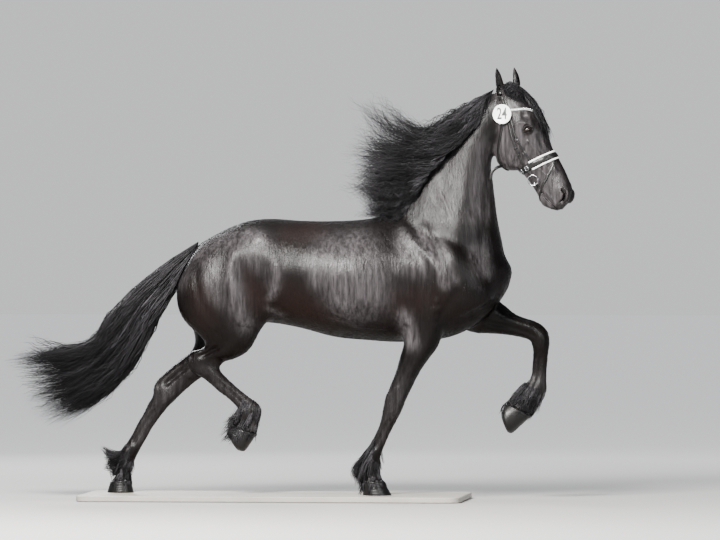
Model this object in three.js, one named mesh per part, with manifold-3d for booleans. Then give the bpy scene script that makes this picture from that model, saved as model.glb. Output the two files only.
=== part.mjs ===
// A black Friesian horse at the trot, life size, standing on a plain base.
// Millimetres, +Z up, +X towards the head, +Y to the horse's left.
// The origin is the middle of the base's underside.
import * as THREE from 'three';
import { mergeVertices } from 'three/addons/utils/BufferGeometryUtils.js';
import Module from 'manifold-3d';

const wasm = await Module();
wasm.setup();

// Driving dimensions
const gap = 0.3;
const baseLength = 2060;
const baseWidth = 800;
const baseThickness = 30;
const baseCorner = 60;
const baseBevel = 4;
const hoofClearance = gap;
const headTurn = THREE.MathUtils.degToRad(-14);
const poll = new THREE.Vector3(1215, 0, 2200);
const eyeCentre = [1397, 84, 1985];
const eyeRadius = 21;
const lidRadius = 20;
const lidTube = 6;
const lidProud = 12;
const lidTurn = THREE.MathUtils.degToRad(84);
const browCentre = [1385, 70, 2010];
const flareCentre = [1590, 36, 1632];
const nostrilCentre = [1598, 62, 1630];
const nostrilHalves = [13, 16, 28];
const mouthHalfWidth = 38;
const discCentre = [1262, -112, 2068];
const discRadius = 52;
const discThickness = 4;
const bitCentre = [1424, 76, 1715];
const bitRadius = 29;
const bitTube = 4;
const strapThickness = 4;
const nosebandThickness = 7;
const browbandThickness = 8;
const foreCut = 955;
const hindCut = 1010;
// Half the size of a block that is larger than the horse, for cutting
const farAway = 3000;

// Stations: [upper or front edge x, z, lower or back edge x, z, middle y, half width, egg]
// The egg value widens a section towards its first edge, or towards its second where negative.
const torsoStations = [
  [-440, 1345, -470, 1210, 0, 40, 0],
  [-405, 1382, -450, 1090, 0, 115, 0],
  [-352, 1412, -385, 1000, 0, 180, 0.05],
  [-275, 1452, -290, 955, 0, 232, 0.1],
  [-162, 1497, -162, 945, 0, 270, 0.1],
  [-38, 1515, -27, 948, 0, 286, 0.04],
  [135, 1502, 135, 921, 0, 294, -0.04],
  [324, 1500, 324, 872, 0, 306, -0.08],
  [486, 1510, 486, 856, 0, 298, -0.12],
  [648, 1538, 648, 845, 0, 264, -0.16],
  [800, 1528, 800, 851, 0, 246, -0.14],
  [930, 1490, 930, 868, 0, 240, -0.08],
  [1040, 1440, 1030, 905, 0, 218, 0],
  [1140, 1392, 1115, 960, 0, 184, 0.04],
  [1215, 1345, 1190, 1030, 0, 142, 0.05],
  [1262, 1285, 1248, 1110, 0, 86, 0],
  [1280, 1240, 1276, 1190, 0, 30, 0],
];
const neckStations = [
  [560, 1470, 1250, 1160, 0, 190, 0],
  [640, 1612, 1238, 1345, 0, 168, -0.2],
  [736, 1752, 1208, 1480, 0, 134, -0.25],
  [832, 1890, 1192, 1600, 0, 108, -0.25],
  [930, 2008, 1180, 1700, 0, 95, -0.2],
  [1028, 2098, 1168, 1800, 0, 86, -0.12],
  [1120, 2162, 1200, 1905, 0, 78, -0.05],
  [1205, 2195, 1250, 2020, -5, 64, 0],
];
const headStations = [
  [1212, 2232, 1186, 2150, 0, 44, 0],
  [1282, 2226, 1201, 2055, 0, 74, 0],
  [1354, 2180, 1209, 1998, 0, 92, 0.05],
  [1414, 2104, 1199, 1934, 0, 98, 0.12],
  [1448, 2044, 1190, 1864, 0, 99, 0.16],
  [1476, 1985, 1202, 1805, 0, 90, 0.12],
  [1494, 1925, 1254, 1769, 0, 79, 0.05],
  [1513, 1877, 1324, 1764, 0, 68, 0],
  [1545, 1828, 1359, 1731, 0, 60, 0],
  [1575, 1774, 1393, 1688, 0, 56, 0],
  [1600, 1720, 1422, 1645, 0, 57, 0.05],
  [1617, 1677, 1439, 1612, 0, 59, 0.1],
  [1612, 1634, 1455, 1582, 0, 56, 0.1],
  [1591, 1592, 1500, 1562, 0, 46, 0],
  [1564, 1560, 1532, 1553, 0, 22, 0],
];
const rightForeStations = [
  [1090, 1190, 770, 1180, -150, 84, 0],
  [990, 1075, 724, 1072, -158, 86, 0],
  [942, 957, 706, 964, -156, 82, 0],
  [903, 837, 706, 847, -150, 74, 0],
  [849, 762, 687, 778, -145, 66, 0],
  [800, 692, 665, 697, -141, 58, 0],
  [757, 611, 636, 622, -137, 51, 0],
  [725, 546, 611, 557, -134, 47, 0],
  [703, 492, 595, 497, -131, 48, 0],
  [679, 443, 584, 438, -129, 43, 0],
  [655, 399, 570, 394, -127, 32, 0],
  [633, 356, 549, 350, -125, 29, 0],
  [611, 307, 527, 300, -123, 31, 0],
  [592, 259, 492, 251, -121, 41, 0],
  [579, 210, 478, 207, -120, 43, 0],
  [580, 158, 488, 150, -119, 36, 0],
  [592, 122, 486, 116, -118, 44, 0],
  [600, 107, 480, 99, -118, 55, 0],
];
const leftForeStations = [
  [1045, 1235, 850, 960, 150, 82, 0],
  [1128, 1112, 1050, 892, 156, 84, 0],
  [1206, 1065, 1128, 888, 154, 80, 0],
  [1280, 1003, 1208, 884, 150, 68, 0],
  [1338, 978, 1276, 876, 147, 56, 0],
  [1392, 960, 1334, 864, 145, 50, 0],
  [1435, 934, 1364, 848, 143, 49, 0],
  [1462, 896, 1372, 832, 142, 49, 0],
  [1470, 842, 1376, 806, 141, 45, 0],
  [1463, 781, 1376, 770, 140, 33, 0],
  [1457, 716, 1372, 716, 139, 29, 0],
  [1454, 651, 1368, 671, 138, 31, 0],
  [1454, 590, 1347, 634, 137, 41, 0],
  [1438, 541, 1310, 603, 136, 43, 0],
  [1404, 509, 1274, 566, 136, 36, 0],
  [1372, 452, 1236, 520, 136, 55, 0],
];
const rightHindStations = [
  [-110, 1450, -340, 1410, -90, 62, 0],
  [-20, 1360, -420, 1340, -120, 112, 0],
  [5, 1240, -480, 1240, -135, 138, 0],
  [22, 1100, -520, 1135, -146, 146, 0],
  [-4, 985, -512, 1032, -150, 134, 0],
  [-56, 908, -474, 956, -150, 116, 0],
  [-84, 852, -412, 896, -148, 98, 0],
  [-127, 795, -362, 846, -142, 80, 0],
  [-198, 757, -378, 818, -138, 64, 0],
  [-252, 742, -438, 797, -134, 50, 0],
  [-279, 716, -465, 750, -131, 45, 0],
  [-274, 692, -440, 694, -130, 47, 0],
  [-256, 671, -364, 646, -129, 46, 0],
  [-225, 640, -290, 583, -128, 39, 0],
  [-176, 597, -236, 542, -127, 31, 0],
  [-122, 554, -194, 500, -126, 31, 0],
  [-68, 511, -180, 466, -125, 42, 0],
  [-60, 465, -178, 445, -125, 43, 0],
  [-74, 402, -192, 423, -124, 36, 0],
  [-84, 359, -216, 395, -124, 54, 0],
];
const leftHindStations = [
  [-110, 1450, -340, 1410, 90, 62, 0],
  [-40, 1360, -420, 1340, 122, 112, 0],
  [-60, 1240, -490, 1240, 138, 138, 0],
  [-75, 1080, -525, 1120, 148, 142, 0],
  [-98, 945, -502, 985, 150, 124, 0],
  [-160, 842, -458, 880, 150, 100, 0],
  [-283, 743, -467, 808, 145, 77, 0],
  [-380, 673, -526, 754, 140, 60, 0],
  [-445, 629, -602, 689, 135, 50, 0],
  [-483, 597, -656, 637, 130, 45, 0],
  [-526, 559, -672, 598, 127, 47, 0],
  [-564, 521, -683, 548, 124, 45, 0],
  [-596, 489, -704, 511, 122, 40, 0],
  [-639, 435, -731, 457, 120, 32, 0],
  [-677, 381, -766, 397, 118, 31, 0],
  [-710, 324, -796, 338, 117, 32, 0],
  [-742, 268, -836, 276, 115, 39, 0],
  [-769, 214, -868, 217, 114, 43, 0],
  [-788, 165, -866, 158, 113, 38, 0],
  [-793, 127, -880, 116, 112, 42, 0],
  [-797, 97, -908, 89, 112, 55, 0],
];

// Geometry helpers
function ringCentre(ring) {
  const centre = new THREE.Vector3();
  for (const point of ring) centre.addScaledVector(point, 1 / ring.length);
  return centre;
}

function ringsToGeometry(rings) {
  const sides = rings[0].length;
  const positions = [];
  const index = [];
  for (const ring of rings) {
    for (const point of ring) positions.push(point.x, point.y, point.z);
  }
  for (let ring = 0; ring < rings.length - 1; ring++) {
    for (let side = 0; side < sides; side++) {
      const next = (side + 1) % sides;
      const a = ring * sides + side;
      const b = ring * sides + next;
      const c = a + sides;
      const d = b + sides;
      index.push(a, b, d, a, d, c);
    }
  }
  for (const [ring, turn] of [[0, -1], [rings.length - 1, 1]]) {
    const centre = ringCentre(rings[ring]);
    const hub = positions.length / 3;
    positions.push(centre.x, centre.y, centre.z);
    for (let side = 0; side < sides; side++) {
      const a = ring * sides + side;
      const b = ring * sides + (side + 1) % sides;
      if (turn > 0) index.push(a, b, hub);
      else index.push(b, a, hub);
    }
  }
  const geometry = new THREE.BufferGeometry();
  geometry.setAttribute('position', new THREE.Float32BufferAttribute(positions, 3));
  geometry.setIndex(index);
  return geometry;
}

function signedVolume(vertices, triangles) {
  const a = new THREE.Vector3();
  const b = new THREE.Vector3();
  const c = new THREE.Vector3();
  let volume = 0;
  for (let i = 0; i < triangles.length; i += 3) {
    a.fromArray(vertices, triangles[i] * 3);
    b.fromArray(vertices, triangles[i + 1] * 3);
    c.fromArray(vertices, triangles[i + 2] * 3);
    volume += a.dot(b.cross(c)) / 6;
  }
  return volume;
}

function solid(source, matrix) {
  let geometry = source.clone();
  if (matrix) geometry.applyMatrix4(matrix);
  geometry.deleteAttribute('normal');
  geometry.deleteAttribute('uv');
  geometry = mergeVertices(geometry, 1e-3);
  const vertices = new Float32Array(geometry.attributes.position.array);
  const kept = [];
  const order = geometry.index.array;
  for (let i = 0; i < order.length; i += 3) {
    const [a, b, c] = [order[i], order[i + 1], order[i + 2]];
    if (a !== b && b !== c && c !== a) kept.push(a, b, c);
  }
  if (signedVolume(vertices, kept) < 0) kept.reverse();
  const mesh = new wasm.Mesh({
    numProp: 3,
    vertProperties: vertices,
    triVerts: new Uint32Array(kept),
  });
  return new wasm.Manifold(mesh);
}

// A loft through stations, smooth between them, with every section grown by a distance
function loft(stations, { sides = 20, steps = 2, grow = 0, power = 2 } = {}) {
  const firstEdge = new THREE.CatmullRomCurve3(
    stations.map((s) => new THREE.Vector3(s[0], s[4], s[1])), false, 'catmullrom');
  const secondEdge = new THREE.CatmullRomCurve3(
    stations.map((s) => new THREE.Vector3(s[2], s[4], s[3])), false, 'catmullrom');
  const widths = new THREE.CatmullRomCurve3(
    stations.map((s) => new THREE.Vector3(s[5], s[6], 0)), false, 'catmullrom');
  const count = (stations.length - 1) * steps;
  const rings = [];
  for (let i = 0; i <= count; i++) {
    const t = i / count;
    const first = firstEdge.getPoint(t);
    const second = secondEdge.getPoint(t);
    const { x: halfWidth, y: egg } = widths.getPoint(t);
    const middle = first.clone().add(second).multiplyScalar(0.5);
    const deep = first.clone().sub(middle);
    const depth = deep.length() + grow;
    deep.normalize();
    const ring = [];
    for (let side = 0; side < sides; side++) {
      const angle = (side / sides) * Math.PI * 2;
      const across = Math.sign(Math.cos(angle)) * Math.abs(Math.cos(angle)) ** (2 / power);
      const along = Math.sign(Math.sin(angle)) * Math.abs(Math.sin(angle)) ** (2 / power);
      const point = middle.clone().addScaledVector(deep, depth * along);
      point.y += (halfWidth + grow) * across * (1 + egg * along);
      ring.push(point);
    }
    rings.push(ring);
  }
  for (const [end, inner] of [[0, 1], [rings.length - 1, rings.length - 2]]) {
    const outward = ringCentre(rings[end]).sub(ringCentre(rings[inner])).normalize();
    for (const point of rings[end]) point.addScaledVector(outward, grow);
  }
  return solid(ringsToGeometry(rings));
}

// A ball stretched to three half sizes, turned about Y and set at a place
function ball(centre, halves, tilt = 0, grow = 0, detail = [10, 7]) {
  const matrix = new THREE.Matrix4().compose(
    new THREE.Vector3(...centre),
    new THREE.Quaternion().setFromAxisAngle(new THREE.Vector3(0, 1, 0), tilt),
    new THREE.Vector3(...halves.map((half) => half + grow)));
  return solid(new THREE.SphereGeometry(1, ...detail), matrix);
}

// A flat outline in XZ pushed across the body from one y to another
function prism(outline, yFrom, yTo) {
  const shape = new THREE.Shape(outline.map(([x, z]) => new THREE.Vector2(x, z)));
  const geometry = new THREE.ExtrudeGeometry(shape, { depth: yTo - yFrom, bevelEnabled: false });
  const upright = new THREE.Matrix4().makeRotationX(Math.PI / 2);
  upright.premultiply(new THREE.Matrix4().makeTranslation(0, yTo, 0));
  return solid(geometry, upright);
}

function joined(pieces) {
  return pieces.reduce((whole, piece) => whole.add(piece));
}

function largest(form) {
  const pieces = form.decompose();
  pieces.sort((a, b) => b.volume() - a.volume());
  return pieces[0];
}

// The head turns about the upright line through the poll
const headMatrix = new THREE.Matrix4().makeTranslation(poll.x, 0, 0)
  .multiply(new THREE.Matrix4().makeRotationZ(headTurn))
  .multiply(new THREE.Matrix4().makeTranslation(-poll.x, 0, 0));

function turned(form) {
  return form.transform(headMatrix.elements);
}

const group = new THREE.Group();

function finish(name, form, material) {
  const { vertProperties, triVerts } = largest(form).getMesh();
  const geometry = new THREE.BufferGeometry();
  geometry.setAttribute('position', new THREE.BufferAttribute(new Float32Array(vertProperties), 3));
  geometry.setIndex(new THREE.BufferAttribute(new Uint32Array(triVerts), 1));
  geometry.computeVertexNormals();
  const mesh = new THREE.Mesh(geometry, material);
  mesh.name = name;
  group.add(mesh);
}

const coat = new THREE.MeshStandardMaterial({ color: 0x120f0e, roughness: 0.35, metalness: 0 });
const hair = new THREE.MeshStandardMaterial({ color: 0x0d0c0c, roughness: 0.6, metalness: 0 });
const horn = new THREE.MeshStandardMaterial({ color: 0x1c1a19, roughness: 0.5, metalness: 0 });
const eyeDark = new THREE.MeshStandardMaterial({ color: 0x0a0706, roughness: 0.08, metalness: 0 });
const leather = new THREE.MeshStandardMaterial({ color: 0x0c0b0b, roughness: 0.45, metalness: 0 });
const whiteTrim = new THREE.MeshStandardMaterial({ color: 0xe9e9ea, roughness: 0.4, metalness: 0 });
const steel = new THREE.MeshStandardMaterial({ color: 0xc9cbce, roughness: 0.2, metalness: 1 });
const board = new THREE.MeshStandardMaterial({ color: 0x9a8f80, roughness: 0.6, metalness: 0 });

// Base
function standBase() {
  const shape = new THREE.Shape();
  const [halfLength, halfWidth] = [baseLength / 2 - baseBevel, baseWidth / 2 - baseBevel];
  const corner = baseCorner - baseBevel;
  shape.moveTo(-halfLength + corner, -halfWidth);
  shape.lineTo(halfLength - corner, -halfWidth);
  shape.absarc(halfLength - corner, -halfWidth + corner, corner, -Math.PI / 2, 0);
  shape.lineTo(halfLength, halfWidth - corner);
  shape.absarc(halfLength - corner, halfWidth - corner, corner, 0, Math.PI / 2);
  shape.lineTo(-halfLength + corner, halfWidth);
  shape.absarc(-halfLength + corner, halfWidth - corner, corner, Math.PI / 2, Math.PI);
  shape.lineTo(-halfLength, -halfWidth + corner);
  shape.absarc(-halfLength + corner, -halfWidth + corner, corner, Math.PI, Math.PI * 1.5);
  const geometry = new THREE.ExtrudeGeometry(shape, {
    depth: baseThickness - 2 * baseBevel,
    bevelThickness: baseBevel,
    bevelSize: baseBevel,
    bevelSegments: 1,
    curveSegments: 3,
  });
  geometry.translate(0, 0, baseBevel);
  return solid(geometry);
}

// Body: the trunk with the upper parts of the legs, cut clear of the legs below them
const legs = {
  foreleg_right: { stations: rightForeStations, cut: foreCut },
  foreleg_left: { stations: leftForeStations, cut: foreCut },
  hindleg_right: { stations: rightHindStations, cut: hindCut },
  hindleg_left: { stations: leftHindStations, cut: hindCut },
};

function above(height) {
  const outline = [[-farAway, height], [farAway, height], [farAway, farAway], [-farAway, farAway]];
  return prism(outline, -farAway, farAway);
}

function legForm({ stations, cut }, grow = 0) {
  return loft(stations, { sides: 12, steps: 1, grow }).subtract(above(cut + grow));
}

function upperLegForm({ stations, cut }, grow = 0) {
  return loft(stations, { sides: 12, steps: 1, grow }).intersect(above(cut));
}

const shoulderStations = [
  [840, 1500, 690, 1440, 70, 48, 0],
  [930, 1440, 712, 1330, 118, 76, 0],
  [1030, 1360, 765, 1200, 150, 92, 0],
  [1120, 1265, 830, 1090, 153, 98, 0],
  [1178, 1160, 900, 1010, 142, 96, 0],
  [1196, 1080, 985, 965, 128, 78, 0],
];

// The same stations on the other side of the body
function mirrored(stations) {
  return stations.map((s) => [s[0], s[1], s[2], s[3], -s[4], s[5], s[6]]);
}

function shoulderForm(side, grow = 0) {
  const stations = side > 0 ? shoulderStations : mirrored(shoulderStations);
  return loft(stations, { sides: 14, steps: 1, grow });
}

function torsoForm(grow = 0) {
  const pieces = [loft(torsoStations, { sides: 22, steps: 1, grow, power: 2.15 })];
  for (const leg of Object.values(legs)) pieces.push(upperLegForm(leg, grow));
  pieces.push(shoulderForm(1, grow), shoulderForm(-1, grow));
  return joined(pieces);
}

function neckForm(grow = 0) {
  return loft(neckStations, { sides: 18, steps: 1, grow, power: 2.1 });
}

// The head: the skull loft with cheeks, brows, nostrils and lips, less eyes, nostrils and mouth line
const mouthLine = [[1441, 1686], [1462, 1652], [1490, 1618], [1530, 1585], [1526, 1582],
  [1487, 1615], [1458, 1650]];
const mouthFront = [[1526, 1584], [1560, 1542], [1556, 1539], [1522, 1581]];

function bothSides(make) {
  return joined([make(-1), make(1)]);
}

function onSide([x, y, z], side) {
  return [x, side * y, z];
}

function headForm(grow = 0) {
  const skull = loft(headStations, { sides: 18, steps: 1, grow, power: 2.25 });
  const brows = bothSides((side) => ball(onSide(browCentre, side), [52, 36, 46], 0.4, grow));
  const flare = bothSides((side) => ball(onSide(flareCentre, side), [32, 30, 44], 0.3, grow));
  return joined([skull, brows, flare]);
}

function lid(side) {
  const [x, y, z] = eyeCentre;
  const matrix = new THREE.Matrix4().makeTranslation(x, side * (y + lidProud), z);
  matrix.multiply(new THREE.Matrix4().makeRotationX(side * lidTurn));
  matrix.multiply(new THREE.Matrix4().makeScale(1.15, 0.85, 1));
  return solid(new THREE.TorusGeometry(lidRadius, lidTube, 5, 12), matrix);
}

function eyeForm(side, grow = 0) {
  return ball(onSide(eyeCentre, side), [eyeRadius, eyeRadius, eyeRadius], 0, grow);
}

function finishedHead() {
  let head = headForm().add(bothSides(lid)).subtract(bothSides((side) => eyeForm(side, gap)));
  head = head.subtract(bothSides((side) => ball(onSide(nostrilCentre, side), nostrilHalves, 0.45)));
  head = head.subtract(prism(mouthLine, mouthHalfWidth, farAway));
  head = head.subtract(prism(mouthLine, -farAway, -mouthHalfWidth));
  return head.subtract(prism(mouthFront, -farAway, farAway));
}

// Ears, [front x, z, back x, z, y, half width], and the cup scooped from the front
const earStations = [
  [1262, 2196, 1206, 2190, 50, 24, 0],
  [1266, 2232, 1204, 2224, 54, 28, 0],
  [1260, 2262, 1205, 2256, 57, 27, 0],
  [1248, 2292, 1210, 2290, 59, 19, 0],
  [1232, 2322, 1224, 2321, 60, 4, 0],
];
const cupStations = [
  [1286, 2222, 1226, 2216, 60, 16, 0],
  [1284, 2240, 1218, 2236, 64, 20, 0],
  [1276, 2264, 1217, 2260, 66, 18, 0],
  [1262, 2288, 1222, 2287, 66, 12, 0],
  [1245, 2306, 1230, 2305, 66, 3, 0],
];

// The left ear is pricked forward and the right one is laid back a little
const leftEarAhead = 36;
const rightEarBack = 22;

function earForm(side, grow = 0) {
  const shift = side > 0 ? leftEarAhead : -rightEarBack;
  const place = (stations) => stations.map(([frontX, frontZ, backX, backZ, y, half]) => (
    [frontX + shift, frontZ, backX + shift, backZ, side * y, half, 0]));
  const outer = loft(place(earStations), { sides: 8, steps: 1, grow });
  return grow ? outer : outer.subtract(loft(place(cupStations), { sides: 6, steps: 1 }));
}

// Straps lie on the head: a band of the shell round it, cut out by a flat outline
const throatStrap = [[1252, 2075], [1232, 1975], [1216, 1880], [1222, 1800], [1262, 1742],
  [1274, 1752], [1238, 1806], [1231, 1880], [1247, 1972], [1268, 2068]];
const cheekStrap = [[1228, 2260], [1262, 2120], [1282, 2044], [1368, 1800], [1396, 1808],
  [1310, 2048], [1290, 2120], [1262, 2262]];
const nosebandStrap = [[1270, 1752], [1402, 1816], [1600, 1908], [1620, 1862], [1404, 1762], [1290, 1690]];
const flashStrap = [[1550, 1850], [1486, 1722], [1432, 1622], [1446, 1614], [1500, 1714], [1566, 1846]];
const browStrap = [[1262, 2094], [1470, 2104], [1470, 2088], [1262, 2078]];

function onHead(outline, thickness) {
  const shell = headForm(thickness).subtract(headForm(gap));
  return shell.intersect(prism(outline, -farAway, farAway));
}

function bitRing(side) {
  const matrix = new THREE.Matrix4().makeTranslation(...onSide(bitCentre, side));
  matrix.multiply(new THREE.Matrix4().makeRotationX(Math.PI / 2));
  return solid(new THREE.TorusGeometry(bitRadius, bitTube, 6, 16), matrix);
}

function disc() {
  const geometry = new THREE.CylinderGeometry(discRadius, discRadius, discThickness, 24);
  return solid(geometry, new THREE.Matrix4().makeTranslation(...discCentre));
}

const straps = {
  bridle_cheekpieces: { outline: cheekStrap, thickness: strapThickness, material: leather },
  bridle_throatlatch: { outline: throatStrap, thickness: strapThickness, material: leather },
  bridle_noseband: { outline: nosebandStrap, thickness: nosebandThickness, material: leather },
  bridle_flash: { outline: flashStrap, thickness: strapThickness, material: leather },
  bridle_browband: { outline: browStrap, thickness: browbandThickness, material: whiteTrim },
};

// Hair: guides run from root to tip as [x, y, z], and locks are set between neighbouring guides
const tailGuides = [
  [[-416, 0, 1384], [-621, 0, 1250], [-810, 0, 1088], [-918, 0, 966], [-988, 0, 856],
    [-1161, 0, 804], [-1372, 0, 783]],
  [[-421, 0, 1366], [-605, 0, 1207], [-767, 0, 1045], [-875, 0, 910], [-972, 0, 802],
    [-1150, 0, 737], [-1390, 0, 727]],
  [[-432, 0, 1344], [-583, 0, 1169], [-729, 0, 1007], [-832, 0, 856], [-956, 0, 737],
    [-1134, 0, 651], [-1325, 0, 619]],
  [[-443, 0, 1321], [-567, 0, 1140], [-697, 0, 975], [-794, 0, 802], [-929, 0, 667],
    [-1107, 0, 575], [-1291, 0, 532]],
  [[-459, 0, 1304], [-556, 0, 1128], [-670, 0, 953], [-761, 0, 775], [-891, 0, 613],
    [-1064, 0, 521], [-1242, 0, 446]],
  [[-470, 0, 1290], [-548, 0, 1118], [-640, 0, 965], [-716, 0, 820], [-812, 0, 672],
    [-975, 0, 522], [-1132, 0, 405]],
];
const tailSpread = [26, 52, 78, 92, 100, 92, 60];
const maneGuides = [
  [[1180, -20, 2200], [1053, -42, 2138], [918, -50, 2062], [810, -45, 1996],
    [702, -40, 2036], [628, -35, 2112], [560, -30, 2166]],
  [[1130, -28, 2158], [999, -60, 2068], [891, -66, 1988], [756, -60, 1947],
    [621, -55, 2001], [524, -50, 2087], [466, -45, 2128]],
  [[1055, -25, 2100], [945, -70, 2012], [830, -72, 1936], [700, -66, 1905],
    [580, -60, 1925], [520, -55, 1990], [498, -50, 2060]],
  [[985, -25, 2050], [885, -75, 1950], [772, -75, 1890], [660, -70, 1870],
    [560, -60, 1878], [480, -55, 1900], [400, -50, 1885]],
  [[925, -25, 1988], [832, -80, 1888], [718, -78, 1842], [610, -72, 1824],
    [520, -62, 1826], [460, -55, 1822], [408, -50, 1815]],
  [[868, -25, 1925], [775, -80, 1835], [675, -78, 1785], [600, -70, 1765],
    [540, -62, 1762], [490, -55, 1763], [440, -50, 1775]],
  [[815, -25, 1865], [735, -80, 1788], [655, -76, 1738], [580, -68, 1716],
    [500, -60, 1705], [430, -52, 1698], [358, -46, 1702]],
  [[765, -25, 1800], [700, -78, 1735], [638, -74, 1680], [575, -66, 1656],
    [515, -58, 1655], [470, -52, 1662], [425, -46, 1668]],
  [[715, -25, 1730], [668, -72, 1672], [620, -70, 1622], [570, -62, 1600],
    [525, -55, 1600], [495, -50, 1612], [468, -46, 1620]],
  [[665, -22, 1660], [632, -60, 1615], [600, -62, 1578], [556, -58, 1560],
    [515, -50, 1562], [485, -46, 1570], [455, -44, 1578]],
  [[610, -18, 1590], [580, -50, 1568], [548, -58, 1552], [500, -60, 1545],
    [440, -58, 1536], [380, -52, 1526], [318, -46, 1518]],
];
const maneSpread = [12, 22, 40, 66, 80, 72, 48];
const forelockGuides = [
  [[1262, -22, 2238], [1308, -62, 2205], [1348, -92, 2150], [1372, -104, 2090], [1388, -104, 2050]],
  [[1266, -12, 2244], [1345, -42, 2214], [1420, -50, 2130], [1462, -48, 2045], [1490, -42, 1965]],
  [[1270, 0, 2246], [1356, -8, 2222], [1434, -10, 2132], [1480, -8, 2045], [1518, -4, 1905]],
  [[1266, 12, 2244], [1345, 42, 2214], [1420, 52, 2130], [1460, 56, 2045], [1484, 54, 1965]],
];
const forelockSpread = [6, 6, 8, 8, 6];

function seeded(seed) {
  let state = seed;
  return () => {
    state = (state * 1664525 + 1013904223) % 4294967296;
    return state / 4294967296;
  };
}

// A point list between two neighbouring guides, pushed sideways by its layer and waved a little
function strand(guides, spread, across, layer, wave, random) {
  const place = across * (guides.length - 1);
  const first = Math.min(Math.floor(place), guides.length - 2);
  const phase = random() * Math.PI * 2;
  return guides[first].map((from, k) => {
    const point = new THREE.Vector3(...from).lerp(new THREE.Vector3(...guides[first + 1][k]), place - first);
    const swing = wave * Math.sin(phase + k * 1.9) * (k / spread.length);
    point.y += layer * spread[k] + swing;
    point.z += swing;
    return point;
  });
}

// A flat lock that tapers to its tip along a curve, broad side facing the given way
function lock(points, { width, thickness, facing, spans = 6 }) {
  const curve = new THREE.CatmullRomCurve3(points);
  const rings = [];
  for (let i = 0; i <= spans; i++) {
    const t = i / spans;
    const centre = curve.getPointAt(t);
    const along = curve.getTangentAt(t);
    const across = new THREE.Vector3().crossVectors(facing, along).normalize();
    const out = new THREE.Vector3().crossVectors(along, across).normalize();
    const full = t < 0.35 ? 0.7 + 0.3 * (t / 0.35) : 1 - 0.97 * ((t - 0.35) / 0.65) ** 1.5;
    rings.push([
      centre.clone().addScaledVector(across, full * width / 2),
      centre.clone().addScaledVector(out, full * thickness / 2),
      centre.clone().addScaledVector(across, -full * width / 2),
      centre.clone().addScaledVector(out, -full * thickness / 2),
    ]);
  }
  return solid(ringsToGeometry(rings));
}

// Locks over a core that reaches half way along the guides
function hairForm(guides, spread, options) {
  const { rows, layers, width, thickness, wave, seed, spans, coreSpans, coreScale } = options;
  const random = seeded(seed);
  const pieces = [];
  layers.forEach((layer, depth) => {
    for (let row = 0; row < rows; row++) {
      const even = (row + (depth % 2) * 0.5) / (rows - 1);
      const across = Math.min(1, Math.max(0, even + (random() - 0.5) * 0.03));
      const points = strand(guides, spread, across, layer * (1 - 0.6 * (2 * across - 1) ** 4), wave, random);
      const facing = new THREE.Vector3(0.2 * (random() - 0.5), layer < 0 ? -1 : 1, 0.5 * (random() - 0.5));
      const size = 0.85 + 0.3 * random();
      pieces.push(lock(points, { width: width * size, thickness, facing: facing.normalize(), spans }));
    }
  });
  const coreStations = [];
  for (let k = 0; k <= coreSpans; k++) {
    const first = new THREE.Vector3(...guides[0][k]);
    const last = new THREE.Vector3(...guides[guides.length - 1][k]);
    const middle = first.clone().lerp(last, 0.5);
    first.lerp(middle, 1 - coreScale);
    last.lerp(middle, 1 - coreScale);
    coreStations.push([first.x, first.z, last.x, last.z, middle.y, spread[k] * coreScale, 0]);
  }
  pieces.push(loft(coreStations, { sides: 8, steps: 1 }));
  return joined(pieces);
}

const torsoGrown = torsoForm(gap);
const headGrown = turned(headForm(gap));
const neckGrown = neckForm(gap);
let torso = torsoForm();
for (const leg of Object.values(legs)) torso = torso.subtract(legForm(leg, gap));
finish('torso', torso, coat);
finish('neck', neckForm().subtract(torsoGrown).subtract(headGrown), coat);
finish('head', turned(finishedHead()), coat);
for (const [name, side] of [['right', -1], ['left', 1]]) {
  finish(`eye_${name}`, turned(eyeForm(side)), eyeDark);
  finish(`ear_${name}`, turned(earForm(side)).subtract(headGrown), coat);
  finish(`bridle_bit_ring_${name}`, turned(bitRing(side)), steel);
}

// Where two straps meet, the first one stops short of the others named
const strapsUnder = {
  bridle_cheekpieces: [nosebandStrap],
  bridle_throatlatch: [browStrap, cheekStrap],
  bridle_noseband: [],
  bridle_flash: [nosebandStrap],
  bridle_browband: [cheekStrap],
};

function grownPrism(outline) {
  const shape = new THREE.Shape(outline.map(([x, z]) => new THREE.Vector2(x, z)));
  const geometry = new THREE.ExtrudeGeometry(shape, {
    depth: 2 * farAway, bevelThickness: gap, bevelSize: gap, bevelSegments: 1,
  });
  const upright = new THREE.Matrix4().makeRotationX(Math.PI / 2);
  upright.premultiply(new THREE.Matrix4().makeTranslation(0, farAway, 0));
  return solid(geometry, upright);
}

const earsGrown = bothSides((side) => earForm(side, gap));
for (const [name, { outline, thickness, material }] of Object.entries(straps)) {
  let piece = onHead(outline, thickness).subtract(earsGrown);
  for (const under of strapsUnder[name]) piece = piece.subtract(grownPrism(under));
  piece = turned(piece).subtract(neckGrown);
  finish(name, piece, material);
}
const bridleClear = turned(joined(Object.values(straps).map(
  ({ outline, thickness }) => headForm(thickness + gap).intersect(grownPrism(outline)))));
finish('number_disc', turned(disc()).subtract(bridleClear).subtract(headGrown), whiteTrim);

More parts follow.
